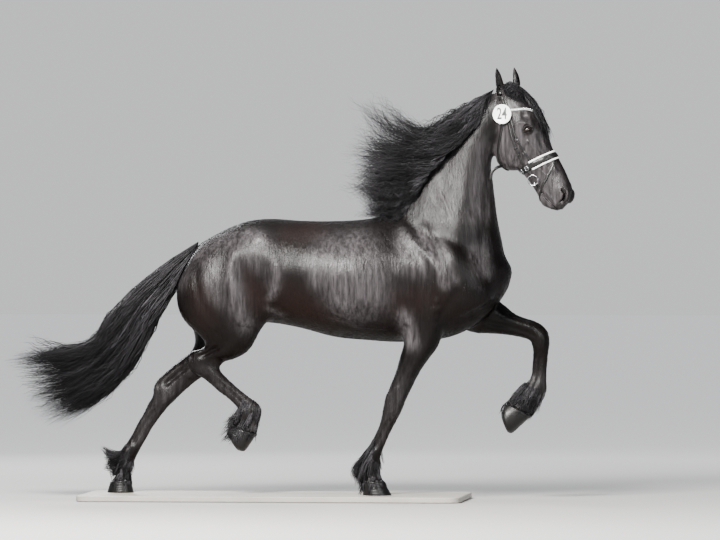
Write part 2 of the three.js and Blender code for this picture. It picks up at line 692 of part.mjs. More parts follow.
// Hooves: coronet ring to bearing edge, [front x, z, back x, z, y, half width]
const hooves = {
  foreleg_right: [[600, 106, 480, 98, -118, 57, 0], [642, 30, 488, 30, -118, 70, 0]],
  hindleg_left: [[-797, 96, -908, 88, 112, 57, 0], [-780, 30, -925, 30, 112, 68, 0]],
  foreleg_left: [
    [1371, 451, 1236, 519, 136, 57, 0], [1310, 394, 1222, 506, 136, 66, 0],
    [1268, 358, 1209, 484, 136, 67, 0], [1244, 360, 1208, 450, 136, 52, 0],
  ],
  hindleg_right: [
    [-84, 358, -216, 394, -124, 56, 0], [-120, 302, -234, 388, -124, 64, 0],
    [-150, 265, -240, 370, -124, 65, 0], [-184, 267, -230, 338, -124, 50, 0],
  ],
};
// Fetlock hair: two tiers of locks round the back and sides of the fetlock over a thin core.
// Each leg names the stations that the hair covers, the way it falls and the way it points out.
const feathers = {
  foreleg_right: { from: 11, fall: [-0.22, 0, -1], back: [-1, 0, -0.1], length: 128, seed: 21 },
  hindleg_left: { from: 15, fall: [-0.5, 0, -0.75], back: [-1, 0, 0.1], length: 135, seed: 22 },
  foreleg_left: { from: 11, fall: [-0.85, 0, -0.55], back: [-0.75, 0, 0.66], length: 105, seed: 23 },
  hindleg_right: { from: 14, fall: [-0.75, 0, -0.55], back: [-0.8, 0, 0.2], length: 105, seed: 24 },
};

function featherForm(stations, { from, fall, back, length, seed }) {
  const random = seeded(seed);
  const falling = new THREE.Vector3(...fall).normalize();
  const backward = new THREE.Vector3(...back).normalize();
  const sideways = new THREE.Vector3(0, 1, 0);
  const covered = stations.slice(from);
  const core = covered.map((s, k) => {
    const swell = k === 0 ? 2 : 14;
    const [middleX, middleZ] = [(s[0] + s[2]) / 2, (s[1] + s[3]) / 2];
    const reach = Math.hypot(s[2] - middleX, s[3] - middleZ);
    const [outX, outZ] = [(s[2] - middleX) / reach, (s[3] - middleZ) / reach];
    return [middleX, middleZ, s[2] + outX * swell, s[3] + outZ * swell, s[4], s[5] + swell / 2, 0];
  });
  const pieces = [loft(core, { sides: 8, steps: 1 })];
  for (const tier of [0, 1]) {
    const station = covered[1 + 2 * tier];
    const [frontX, frontZ, backX, backZ, y] = station;
    const centre = new THREE.Vector3((frontX + backX) / 2, y, (frontZ + backZ) / 2);
    const reach = Math.hypot(frontX - backX, frontZ - backZ) / 2;
    const count = tier ? 3 : 4;
    for (let i = 0; i < count; i++) {
      const angle = (i - (count - 1) / 2) * (tier ? 0.95 : 0.75);
      const out = backward.clone().multiplyScalar(Math.cos(angle)).addScaledVector(sideways, Math.sin(angle));
      const root = centre.clone().addScaledVector(backward, reach * 0.5 * Math.cos(angle));
      root.addScaledVector(sideways, station[5] * 0.75 * Math.sin(angle));
      const drop = length * (0.8 + 0.35 * random()) * (tier ? 0.72 : 1);
      const points = [
        root,
        root.clone().addScaledVector(out, reach * 0.75).addScaledVector(falling, drop * 0.28),
        root.clone().addScaledVector(out, reach * 0.95).addScaledVector(falling, drop * 0.66),
        root.clone().addScaledVector(out, reach * 0.8).addScaledVector(falling, drop),
      ];
      pieces.push(lock(points, { width: 60, thickness: 20, facing: out, spans: 3 }));
    }
  }
  return joined(pieces);
}

const hoofLevel = baseThickness + hoofClearance;
const floorClear = prism([[-farAway, 0], [farAway, 0], [farAway, hoofLevel], [-farAway, hoofLevel]],
  -farAway, farAway);
for (const [name, leg] of Object.entries(legs)) {
  const hoof = loft(hooves[name], { sides: 16, steps: 1 });
  const hoofGrown = loft(hooves[name], { sides: 16, steps: 1, grow: gap });
  finish(name, legForm(leg).subtract(hoofGrown), coat);
  finish(name.replace('leg', 'hoof'), hoof.subtract(floorClear), horn);
  const legClear = joined([legForm(leg, 3 * gap), hoofGrown, floorClear]);
  finish(name.replace('leg', 'feather'), featherForm(leg.stations, feathers[name]).subtract(legClear), hair);
}

const tail = hairForm(tailGuides, tailSpread, {
  rows: 6,
  layers: [-0.9, 0, 0.9],
  width: 98,
  thickness: 34,
  wave: 16,
  seed: 7,
  spans: 5,
  coreSpans: 3,
  coreScale: 0.8,
});
finish('tail', tail.subtract(torsoGrown), hair);
const mane = hairForm(maneGuides, maneSpread, {
  rows: 8,
  layers: [-0.8, 0.7],
  width: 122,
  thickness: 36,
  wave: 16,
  seed: 5,
  spans: 5,
  coreSpans: 2,
  coreScale: 1,
});
const hairClear = joined([torsoGrown, neckGrown, headGrown, turned(earsGrown), bridleClear]);
finish('mane', mane.subtract(hairClear), hair);
const forelock = turned(hairForm(forelockGuides, forelockSpread, {
  rows: 5,
  layers: [0],
  width: 54,
  thickness: 16,
  wave: 5,
  seed: 3,
  spans: 3,
  coreSpans: 1,
  coreScale: 0.6,
}));
finish('forelock', forelock.subtract(hairClear), hair);

finish('stand_base', standBase(), board);

export default group;
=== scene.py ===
import math

import bmesh
import bpy
import numpy as np
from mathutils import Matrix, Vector
from mathutils.bvhtree import BVHTree
from mathutils.kdtree import KDTree


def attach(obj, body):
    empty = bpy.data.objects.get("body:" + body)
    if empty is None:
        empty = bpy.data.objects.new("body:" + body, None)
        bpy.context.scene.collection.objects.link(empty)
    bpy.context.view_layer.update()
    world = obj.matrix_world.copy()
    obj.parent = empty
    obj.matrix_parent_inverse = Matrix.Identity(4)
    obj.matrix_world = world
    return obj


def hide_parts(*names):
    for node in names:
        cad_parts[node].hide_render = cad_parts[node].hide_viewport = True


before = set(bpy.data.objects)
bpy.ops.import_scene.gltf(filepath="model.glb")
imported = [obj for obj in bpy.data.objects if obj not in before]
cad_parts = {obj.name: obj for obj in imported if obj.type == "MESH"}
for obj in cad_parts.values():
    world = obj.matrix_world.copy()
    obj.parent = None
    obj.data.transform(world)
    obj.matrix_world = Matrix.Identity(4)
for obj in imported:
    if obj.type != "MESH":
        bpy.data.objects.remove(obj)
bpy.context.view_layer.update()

# Driving dimensions, in millimetres
MM = 0.001
POLL_X = 1215.0
HEAD_TURN = math.radians(-14)
EYE = (1397.0, 84.0, 1985.0)
EYE_RADIUS = 21.0
COAT_DEPTH = 3.0
VOXEL = 6.0
BASE_TOP = 30.3
FLOOR_REACH = 60000.0
HEAD_BACK, HEAD_LOW = 1180.0, 1540.0
SKIN_SHARE = 0.72
TUFT_COUNT = 49000
LENS, CAMERA_AWAY, VIEW_CENTRE = 372.8, 40.0, (0.459, 0, 1.234)
CAMERA_AHEAD, CAMERA_DROP = math.radians(6), math.radians(0.6)

# Stations: upper or front edge x, z, lower or back edge x, z, middle y, half width, egg
TORSO = [
    [-440, 1345, -470, 1210, 0, 40, 0], [-405, 1382, -450, 1090, 0, 115, 0],
    [-352, 1412, -385, 1000, 0, 180, 0.05], [-275, 1452, -290, 955, 0, 232, 0.1],
    [-162, 1497, -162, 945, 0, 270, 0.1], [-38, 1515, -27, 948, 0, 286, 0.04],
    [135, 1502, 135, 921, 0, 294, -0.04], [324, 1500, 324, 872, 0, 306, -0.08],
    [486, 1510, 486, 856, 0, 298, -0.12], [648, 1538, 648, 845, 0, 264, -0.16],
    [800, 1528, 800, 851, 0, 246, -0.14], [930, 1490, 930, 868, 0, 240, -0.08],
    [1040, 1440, 1030, 905, 0, 218, 0], [1140, 1392, 1115, 960, 0, 184, 0.04],
    [1215, 1345, 1190, 1030, 0, 142, 0.05], [1262, 1285, 1248, 1110, 0, 86, 0],
    [1280, 1240, 1276, 1190, 0, 30, 0],
]
NECK = [
    [560, 1470, 1250, 1160, 0, 190, 0], [640, 1612, 1238, 1345, 0, 168, -0.2],
    [736, 1752, 1208, 1480, 0, 134, -0.25], [832, 1890, 1192, 1600, 0, 108, -0.25],
    [930, 2008, 1180, 1700, 0, 95, -0.2], [1028, 2098, 1168, 1800, 0, 86, -0.12],
    [1120, 2162, 1200, 1905, 0, 78, -0.05], [1205, 2195, 1250, 2020, -5, 64, 0],
]
HEAD = [
    [1212, 2232, 1186, 2150, 0, 44, 0], [1282, 2226, 1201, 2055, 0, 74, 0],
    [1354, 2180, 1209, 1998, 0, 92, 0.05], [1414, 2104, 1199, 1934, 0, 98, 0.12],
    [1448, 2044, 1190, 1864, 0, 99, 0.16], [1476, 1985, 1202, 1805, 0, 90, 0.12],
    [1494, 1925, 1254, 1769, 0, 79, 0.05], [1513, 1877, 1324, 1764, 0, 68, 0],
    [1545, 1828, 1359, 1731, 0, 60, 0], [1575, 1774, 1393, 1688, 0, 56, 0],
    [1600, 1720, 1422, 1645, 0, 57, 0.05], [1617, 1677, 1439, 1612, 0, 59, 0.1],
    [1612, 1634, 1455, 1582, 0, 56, 0.1], [1591, 1592, 1500, 1562, 0, 46, 0],
    [1564, 1560, 1532, 1553, 0, 22, 0],
]
SHOULDER = [
    [840, 1500, 690, 1440, 70, 48, 0], [930, 1440, 712, 1330, 118, 76, 0],
    [1030, 1360, 765, 1200, 150, 92, 0], [1120, 1265, 830, 1090, 153, 98, 0],
    [1178, 1160, 900, 1010, 142, 96, 0], [1196, 1080, 985, 965, 128, 78, 0],
]
LEGS = {
    "foreleg_right": [
        [1090, 1190, 770, 1180, -150, 84, 0], [990, 1075, 724, 1072, -158, 86, 0],
        [942, 957, 706, 964, -156, 82, 0], [903, 837, 706, 847, -150, 74, 0],
        [849, 762, 687, 778, -145, 66, 0], [800, 692, 665, 697, -141, 58, 0],
        [757, 611, 636, 622, -137, 51, 0], [725, 546, 611, 557, -134, 47, 0],
        [703, 492, 595, 497, -131, 48, 0], [679, 443, 584, 438, -129, 43, 0],
        [655, 399, 570, 394, -127, 32, 0], [633, 356, 549, 350, -125, 29, 0],
        [611, 307, 527, 300, -123, 31, 0], [592, 259, 492, 251, -121, 41, 0],
        [579, 210, 478, 207, -120, 43, 0], [580, 158, 488, 150, -119, 36, 0],
        [592, 122, 486, 116, -118, 44, 0], [600, 107, 480, 99, -118, 55, 0],
    ],
    "foreleg_left": [
        [1045, 1235, 850, 960, 150, 82, 0], [1128, 1112, 1050, 892, 156, 84, 0],
        [1206, 1065, 1128, 888, 154, 80, 0], [1280, 1003, 1208, 884, 150, 68, 0],
        [1338, 978, 1276, 876, 147, 56, 0], [1392, 960, 1334, 864, 145, 50, 0],
        [1435, 934, 1364, 848, 143, 49, 0], [1462, 896, 1372, 832, 142, 49, 0],
        [1470, 842, 1376, 806, 141, 45, 0], [1463, 781, 1376, 770, 140, 33, 0],
        [1457, 716, 1372, 716, 139, 29, 0], [1454, 651, 1368, 671, 138, 31, 0],
        [1454, 590, 1347, 634, 137, 41, 0], [1438, 541, 1310, 603, 136, 43, 0],
        [1404, 509, 1274, 566, 136, 36, 0], [1372, 452, 1236, 520, 136, 55, 0],
    ],
    "hindleg_right": [
        [-110, 1450, -340, 1410, -90, 62, 0], [-20, 1360, -420, 1340, -120, 112, 0],
        [5, 1240, -480, 1240, -135, 138, 0], [22, 1100, -520, 1135, -146, 146, 0],
        [-4, 985, -512, 1032, -150, 134, 0], [-56, 908, -474, 956, -150, 116, 0],
        [-84, 852, -412, 896, -148, 98, 0], [-127, 795, -362, 846, -142, 80, 0],
        [-198, 757, -378, 818, -138, 64, 0], [-252, 742, -438, 797, -134, 50, 0],
        [-279, 716, -465, 750, -131, 45, 0], [-274, 692, -440, 694, -130, 47, 0],
        [-256, 671, -364, 646, -129, 46, 0], [-225, 640, -290, 583, -128, 39, 0],
        [-176, 597, -236, 542, -127, 31, 0], [-122, 554, -194, 500, -126, 31, 0],
        [-68, 511, -180, 466, -125, 42, 0], [-60, 465, -178, 445, -125, 43, 0],
        [-74, 402, -192, 423, -124, 36, 0], [-84, 359, -216, 395, -124, 54, 0],
    ],
    "hindleg_left": [
        [-110, 1450, -340, 1410, 90, 62, 0], [-40, 1360, -420, 1340, 122, 112, 0],
        [-60, 1240, -490, 1240, 138, 138, 0], [-75, 1080, -525, 1120, 148, 142, 0],
        [-98, 945, -502, 985, 150, 124, 0], [-160, 842, -458, 880, 150, 100, 0],
        [-283, 743, -467, 808, 145, 77, 0], [-380, 673, -526, 754, 140, 60, 0],
        [-445, 629, -602, 689, 135, 50, 0], [-483, 597, -656, 637, 130, 45, 0],
        [-526, 559, -672, 598, 127, 47, 0], [-564, 521, -683, 548, 124, 45, 0],
        [-596, 489, -704, 511, 122, 40, 0], [-639, 435, -731, 457, 120, 32, 0],
        [-677, 381, -766, 397, 118, 31, 0], [-710, 324, -796, 338, 117, 32, 0],
        [-742, 268, -836, 276, 115, 39, 0], [-769, 214, -868, 217, 114, 43, 0],
        [-788, 165, -866, 158, 113, 38, 0], [-793, 127, -880, 116, 112, 42, 0],
        [-797, 97, -908, 89, 112, 55, 0],
    ],
}


# The head turns about the upright line through the poll
def turned(points, angle=HEAD_TURN, pivot=POLL_X):
    """Head-local points to the frame; directions with a pivot of 0."""
    p = np.array(points, float)
    x, y = p[..., 0] - pivot, p[..., 1].copy()
    p[..., 0] = pivot + x * math.cos(angle) - y * math.sin(angle)
    p[..., 1] = x * math.sin(angle) + y * math.cos(angle)
    return p


def unturned(points, pivot=POLL_X):
    """Points in the frame to head-local ones."""
    return turned(points, -HEAD_TURN, pivot)


# Curves, lofts and meshes
def spline(points, samples):
    """A Catmull-Rom curve through rows of points; samples is a count or a list of parameters."""
    p = np.asarray(points, float)
    p = np.concatenate([2 * p[:1] - p[1:2], p, 2 * p[-1:] - p[-2:-1]])
    t = np.linspace(0, len(p) - 3, samples) if np.isscalar(samples) else np.asarray(samples, float)
    i = np.clip(t.astype(int), 0, len(p) - 4)
    f = (t - i).reshape((-1,) + (1,) * (p.ndim - 1))
    a, b, c, d = p[i], p[i + 1], p[i + 2], p[i + 3]
    curve = 2 * b + (c - a) * f + (2 * a - 5 * b + 4 * c - d) * f**2
    return 0.5 * (curve + (3 * b - a - 3 * c + d) * f**3)


def loft(stations, sides=44, steps=6, power=2.0):
    """Rings through the stations, as an array of ring, side, xyz."""
    s = np.array(stations, float)
    count = (len(s) - 1) * steps + 1
    first = spline(s[:, [0, 4, 1]], count)
    second = spline(s[:, [2, 4, 3]], count)
    widths = spline(s[:, 5:7], count)
    angle = np.linspace(0, 2 * math.pi, sides, endpoint=False)
    across = np.sign(np.cos(angle)) * np.abs(np.cos(angle)) ** (2 / power)
    along = np.sign(np.sin(angle)) * np.abs(np.sin(angle)) ** (2 / power)
    middle = (first + second) / 2
    rings = middle[:, None] + (first - middle)[:, None] * along[None, :, None]
    rings[..., 1] += widths[:, :1] * across * (1 + widths[:, 1:] * along)
    return rings


def ring_faces(rings, sides):
    """Quads between rings and, as triangles, a fan at each end whose hub points come last."""
    side = np.arange(sides)
    after = (side + 1) % sides
    base = (np.arange(rings - 1) * sides)[:, None]
    quads = np.stack([base + side, base + after, base + sides + after, base + sides + side], -1)
    last = (rings - 1) * sides
    hub = rings * sides
    start = np.stack([after, side, np.full(sides, hub)], -1)
    end = np.stack([last + side, last + after, np.full(sides, hub + 1)], -1)
    return quads.reshape(-1, 4), np.concatenate([start, end])


def give_values(mesh, values):
    """A number per vertex under each name, for the materials to read."""
    for key, value in values.items():
        attribute = mesh.attributes.new(key, "FLOAT", "POINT")
        attribute.data.foreach_set("value", np.asarray(value, np.float32))


def mesh_object(name, points, quads, triangles=None, uv=None, values=None, smooth=True):
    """A mesh object from arrays of points in millimetres and faces."""
    quads = np.asarray(quads, np.int32).reshape(-1, 4)
    triangles = np.asarray([] if triangles is None else triangles, np.int32).reshape(-1, 3)
    corners = np.concatenate([quads.ravel(), triangles.ravel()])
    starts = np.concatenate([
        np.arange(len(quads)) * 4, len(quads) * 4 + np.arange(len(triangles)) * 3,
    ]).astype(np.int32)
    mesh = bpy.data.meshes.new(name)
    mesh.vertices.add(len(points))
    mesh.vertices.foreach_set("co", (np.asarray(points) * MM).astype(np.float32).ravel())
    mesh.loops.add(len(corners))
    mesh.loops.foreach_set("vertex_index", corners)
    mesh.polygons.add(len(starts))
    mesh.polygons.foreach_set("loop_start", starts)
    mesh.polygons.foreach_set("use_smooth", np.full(len(starts), smooth))
    mesh.update(calc_edges=True)
    if uv is not None:
        layer = mesh.uv_layers.new(name="OFBake")
        layer.data.foreach_set("uv", uv[corners].astype(np.float32).ravel())
    give_values(mesh, values or {})
    obj = bpy.data.objects.new(name, mesh)
    bpy.context.scene.collection.objects.link(obj)
    return obj


def loft_object(name, rings):
    """A closed mesh object from loft rings."""
    count, sides = rings.shape[:2]
    quads, triangles = ring_faces(count, sides)
    hubs = np.stack([rings[0].mean(0), rings[-1].mean(0)])
    return mesh_object(name, np.concatenate([rings.reshape(-1, 3), hubs]), quads, triangles)


def ball_rings(centre, halves, tilt=0.0, rings=14, sides=24):
    """Loft rings of a ball stretched to three half sizes and turned about Y."""
    lat = np.linspace(-0.49 * math.pi, 0.49 * math.pi, rings)[:, None]
    lon = np.linspace(0, 2 * math.pi, sides, endpoint=False)[None]
    p = np.stack([
        np.cos(lat) * np.cos(lon) * halves[0], np.cos(lat) * np.sin(lon) * halves[1],
        np.sin(lat) * halves[2] + 0 * lon,
    ], -1)
    x = p[..., 0] * math.cos(tilt) + p[..., 2] * math.sin(tilt)
    z = -p[..., 0] * math.sin(tilt) + p[..., 2] * math.cos(tilt)
    return np.stack([x, p[..., 1], z], -1) + np.array(centre, float)


def only(obj):
    """Makes obj the one selected, active object."""
    for other in bpy.context.selected_objects:
        other.select_set(False)
    obj.select_set(True)
    bpy.context.view_layer.objects.active = obj


def joined(objects, name):
    """Several mesh objects as one."""
    only(objects[0])
    for obj in objects:
        obj.select_set(True)
    bpy.ops.object.join()
    objects[0].name = name
    objects[0].data.name = name
    return objects[0]


def with_modifier(obj, kind, **settings):
    """The mesh of obj after one modifier."""
    modifier = obj.modifiers.new(kind, kind)
    for key, value in settings.items():
        setattr(modifier, key, value)
    graph = bpy.context.evaluated_depsgraph_get()
    mesh = bpy.data.meshes.new_from_object(obj.evaluated_get(graph))
    obj.modifiers.clear()
    old = obj.data
    obj.data = mesh
    bpy.data.meshes.remove(old)
    mesh.name = obj.name
    return obj


def points_of(mesh):
    """Vertex places in millimetres."""
    co = np.empty(len(mesh.vertices) * 3, np.float32)
    mesh.vertices.foreach_get("co", co)
    return co.reshape(-1, 3).astype(float) / MM


def set_points(mesh, points):
    """Moves the vertices, in millimetres."""
    mesh.vertices.foreach_set("co", (points * MM).astype(np.float32).ravel())
    mesh.update()


def normals_of(mesh):
    """Outward direction at each vertex."""
    n = np.empty(len(mesh.vertices) * 3, np.float32)
    mesh.vertex_normals.foreach_get("vector", n)
    return n.reshape(-1, 3).astype(float)


class Links:
    """The vertices next to each vertex, for averaging."""

    def __init__(self, mesh):
        edges = np.empty(len(mesh.edges) * 2, np.int32)
        mesh.edges.foreach_get("vertices", edges)
        a = np.concatenate([edges[0::2], edges[1::2]])
        b = np.concatenate([edges[1::2], edges[0::2]])
        order = np.argsort(a, kind="stable")
        self.other = b[order]
        self.degree = np.maximum(np.bincount(a, minlength=len(mesh.vertices)), 1)
        self.start = np.concatenate([[0], np.cumsum(self.degree)[:-1]])

    def average(self, values):
        total = np.add.reduceat(values[self.other], self.start, axis=0)
        return total / (self.degree[:, None] if values.ndim > 1 else self.degree)

    def relaxed(self, values, weight, rounds, back=0.0):
        """Smoothing by a weight per vertex; back pushes out again so that thin parts keep their size."""
        w = np.asarray(weight, float)
        w = w[:, None] if w.ndim == 1 and values.ndim > 1 else w
        for _ in range(rounds):
            values = values + w * (self.average(values) - values)
            if back:
                values = values - back * w * (self.average(values) - values)
        return values


def ease(x, low, high):
    """0 below low, 1 above high, smooth between."""
    t = np.clip((x - low) / (high - low), 0, 1)
    return t * t * (3 - 2 * t)


def unit(v):
    """Directions of length 1."""
    return v / np.maximum(np.linalg.norm(v, axis=-1, keepdims=True), 1e-9)


# Camera and light: the photograph's side view, from the horse's right and a little ahead
def look_at(obj, target):
    obj.rotation_mode = "QUATERNION"
    obj.rotation_quaternion = (Vector(target) - obj.location).to_track_quat("-Z", "Y")


def area_light(name, place, target, size, power, colour):
    light = bpy.data.lights.new(name, "AREA")
    light.shape = "RECTANGLE"
    light.size, light.size_y = size
    light.energy = power
    light.color = colour
    obj = bpy.data.objects.new(name, light)
    bpy.context.scene.collection.objects.link(obj)
    obj.location = place
    look_at(obj, target)
    return obj


camera_data = bpy.data.cameras.new("camera")
camera = bpy.data.objects.new("camera", camera_data)
bpy.context.scene.collection.objects.link(camera)
camera_data.lens = LENS
camera_data.sensor_width = 36
camera_data.clip_end = 200
view_centre = Vector(VIEW_CENTRE)
camera.location = view_centre + CAMERA_AWAY * Vector((
    math.sin(CAMERA_AHEAD) * math.cos(CAMERA_DROP), -math.cos(CAMERA_AHEAD) * math.cos(CAMERA_DROP),
    math.sin(CAMERA_DROP)))
look_at(camera, view_centre)
bpy.context.scene.camera = camera

area_light("key", (-1.0, -5.4, 4.7), (0.25, 0, 1.25), (2.4, 1.5), 2500, (1.0, 0.98, 0.95))
area_light("front_fill", (5.2, -5.0, 2.8), (0.9, 0, 1.4), (2.2, 2.2), 260, (0.95, 0.97, 1.0))
area_light("top", (0.3, 0.6, 6.4), (0.2, 0, 1.2), (4.0, 1.8), 200, (0.95, 0.97, 1.0))
area_light("far_side", (-2.5, 5.4, 3.6), (0.2, 0, 1.3), (2.6, 2.2), 380, (0.97, 0.98, 1.0))

# The world is palest at the horizon, and the floor fades into it
world = bpy.data.worlds.new("studio")
world.use_nodes = True
sky = world.node_tree
way_up = sky.nodes.new("ShaderNodeSeparateXYZ")
sky.links.new(sky.nodes.new("ShaderNodeTexCoord").outputs["Generated"], way_up.inputs[0])
sky_ramp = sky.nodes.new("ShaderNodeValToRGB")
sky.links.new(way_up.outputs["Z"], sky_ramp.inputs["Fac"])
sky_ramp.color_ramp.elements[0].position = 0.06
sky_ramp.color_ramp.elements[0].color = (0.74, 0.75, 0.76, 1)
sky_ramp.color_ramp.elements[1].position = 0.3
sky_ramp.color_ramp.elements[1].color = (0.13, 0.14, 0.16, 1)
sky.links.new(sky_ramp.outputs["Color"], sky.nodes["Background"].inputs["Color"])
bpy.context.scene.world = world


# Materials
class Nodes:
    """A small builder of shader nodes."""

    def __init__(self, name, **shader):
        self.material = bpy.data.materials.new(name)
        self.material.use_nodes = True
        self.tree = self.material.node_tree
        self.shader = self.tree.nodes["Principled BSDF"]
        for key, value in shader.items():
            self.shader.inputs[key.replace("_", " ")].default_value = value

    def add(self, kind, inputs=None, **settings):
        node = self.tree.nodes.new(kind)
        for key, value in settings.items():
            setattr(node, key, value)
        for key, value in (inputs or {}).items():
            if isinstance(value, bpy.types.NodeSocket):
                self.tree.links.new(value, node.inputs[key])
            else:
                node.inputs[key].default_value = value
        return node

    def link(self, socket, key):
        self.tree.links.new(socket, self.shader.inputs[key])

    def place(self, scale):
        """Object coordinates scaled by three numbers."""
        source = self.add("ShaderNodeTexCoord").outputs["Object"]
        return self.add("ShaderNodeMapping", {"Vector": source, "Scale": scale}).outputs[0]

    def noise(self, scale, detail):
        scale = scale if isinstance(scale, tuple) else (scale,) * 3
        return self.add("ShaderNodeTexNoise", {
            "Vector": self.place(scale), "Scale": 1.0, "Detail": detail, "Roughness": 0.55,
        }).outputs["Fac"]

    def attribute(self, name):
        return self.add("ShaderNodeAttribute", attribute_name=name).outputs["Fac"]

    def ramp(self, value, stops):
        node = self.add("ShaderNodeValToRGB", {"Fac": value})
        elements = node.color_ramp.elements
        while len(elements) < len(stops):
            elements.new(0.5)
        for element, (place, colour) in zip(elements, stops):
            element.position = place
            element.color = (*colour, 1)
        return node.outputs["Color"]

    def mix(self, factor, a, b):
        a, b = [(*value, 1) if isinstance(value, tuple) else value for value in (a, b)]
        return self.add("ShaderNodeMix", {0: factor, 6: a, 7: b}, data_type="RGBA").outputs[2]

    def math(self, operation, a, b=0.0):
        return self.add("ShaderNodeMath", {0: a, 1: b}, operation=operation).outputs[0]

    def span(self, value, low, high, to_low, to_high):
        return self.add("ShaderNodeMapRange", {
            "Value": value, "From Min": low, "From Max": high, "To Min": to_low, "To Max": to_high,
        }).outputs[0]

    def bump(self, height, strength, distance, before=None):
        inputs = {"Height": height, "Strength": strength, "Distance": distance}
        inputs |= {} if before is None else {"Normal": before}
        return self.add("ShaderNodeBump", inputs).outputs[0]


def speckled(name, colours, rough=None, grain=None, **shader):
    """A look whose colour wanders between shades in a fine noise: its size, detail and ramp stops.

    rough is the size of a second noise and its two roughnesses.
    grain is the size, detail and strength of a third, for the surface.
    """
    m = Nodes(name, **shader)
    size, detail, *stops = colours
    m.link(m.ramp(m.noise(size, detail), stops), "Base Color")
    if rough:
        m.link(m.span(m.noise(rough[0], 3), 0.3, 0.7, *rough[1:]), "Roughness")
    if grain:
        m.link(m.bump(m.noise(*grain[:2]), grain[2], 0.001), "Normal")
    return m


def declared(obj, look, slot, *nodes):
    """Gives a piece its look, fixes it to the root and hides the parts of the nodes it stands for; slot is
    not used.
    """
    obj.data.materials.clear()
    obj.data.materials.append(look.material)
    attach(obj, "root")
    if nodes:
        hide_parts(*nodes)
    return obj


def coat_material(name):
    """Short glossy hair: browner where light is low, as painted shade, and greyer and smoother where
    highlights are painted in.
    """
    m = Nodes(name, Roughness=0.4, IOR=1.21)
    warm_tint_and_shade = m.attribute("warm_tint_and_shade")
    painted_sheen = m.attribute("painted_sheen")
    matt = m.attribute("matt")
    patches = m.noise(3.5, 4)
    hairs = m.noise((90, 90, 12), 3)
    streaks = m.noise((48, 48, 5), 4)
    # Tone: the brown tint painted into shaded parts, with random patches
    tone = m.math("ADD", m.math("MULTIPLY", warm_tint_and_shade, 0.85), m.math("MULTIPLY", patches, 0.3))
    colour = m.ramp(tone, [(0.08, (0.0007, 0.0005, 0.0005)), (0.45, (0.0018, 0.0008, 0.0006)),
                           (1.0, (0.008, 0.003, 0.002))])
    # Painted highlight: grey mixed into the colour by the painted highlight mask, broken up by streaks
    painted_shine = m.math("MULTIPLY", m.math("ADD", m.span(streaks, 0.3, 0.7, 0.0, 1.0), 0.22), painted_sheen)
    with_painted_highlight = m.mix(painted_shine, colour, (0.058, 0.052, 0.0545))
    streaked = m.mix(m.span(hairs, 0.4, 0.7, 0, 0.62), with_painted_highlight, (0.0018, 0.0012, 0.0011))
    m.link(streaked, "Base Color")
    rough = m.span(m.noise((22, 22, 5), 4), 0.3, 0.7, 0.33, 0.44)
    smoothed = m.math("SUBTRACT", rough, m.math("MULTIPLY", painted_sheen, 0.08))
    m.link(m.math("ADD", smoothed, m.math("MULTIPLY", matt, 0.3)), "Roughness")
    fine = m.bump(m.noise((520, 520, 90), 2), 0.3, 0.002)
    locks = m.bump(hairs, 0.5, 0.004, fine)
    wide = m.bump(streaks, 0.26, 0.01, locks)
    m.link(m.bump(m.noise((14, 14, 9), 3), 0.1, 0.012, wide), "Normal")
    return m


def hair_material(name, base, light):
    """Long hair, from base to a grey painted highlight, by the shade of each strand."""
    m = Nodes(name, Roughness=0.42, IOR=1.19)
    shade = m.attribute("shade")
    colour = m.mix(shade, base, light)
    dark = m.span(m.noise(60, 2), 0.4, 0.7, 0, 0.35)
    m.link(m.mix(dark, colour, (0.0014, 0.0013, 0.0014)), "Base Color")
    m.link(m.span(shade, 0, 1, 0.46, 0.33), "Roughness")
    m.link(m.bump(m.noise(700, 2), 0.2, 0.001), "Normal")
    return m


COAT = coat_material("black_coat")
# Near black strands, with a grey that stands in as painted highlight
HAIR = hair_material("long_hair", (0.0010, 0.0009, 0.0010), (0.046, 0.044, 0.0485))

# The body in one skin: lofts joined, remeshed and relaxed, then shaped by strokes
forms = {"torso": loft(TORSO, 64, 8, 2.15), "neck": loft(NECK, 52, 8, 2.1)}
forms["head"] = turned(loft(HEAD, 48, 8, 2.25))
for leg_name, stations in LEGS.items():
    forms[leg_name] = loft(stations, 40, 6)
for side, side_name in ((1, "left"), (-1, "right")):
    stations = np.array(SHOULDER, float)
    stations[:, 4] *= side
    forms["shoulder_" + side_name] = loft(stations, 40, 6)
extras = [turned(ball_rings([1385, side * 70, 2010], [50, 34, 44], 0.4)) for side in (-1, 1)]
extras += [turned(ball_rings([1590, side * 36, 1632], [31, 29, 43], 0.3)) for side in (-1, 1)]

skin = joined([loft_object("part", rings) for rings in [*forms.values(), *extras]], "skin")
with_modifier(skin, "REMESH", mode="VOXEL", voxel_size=VOXEL * MM, use_smooth_shade=True)


def refined(obj, chosen):
    """Splits the faces whose vertices are all chosen."""
    bm = bmesh.new()
    bm.from_mesh(obj.data)
    picked = [f for f in bm.faces if all(chosen[v.index] for v in f.verts)]
    edges = list({e for f in picked for e in f.edges})
    bmesh.ops.subdivide_edges(bm, edges=edges, cuts=1, use_grid_fill=True)
    bmesh.ops.triangulate(bm, faces=[f for f in bm.faces if len(f.verts) > 4])
    bm.to_mesh(obj.data)
    bm.free()
    obj.data.update()


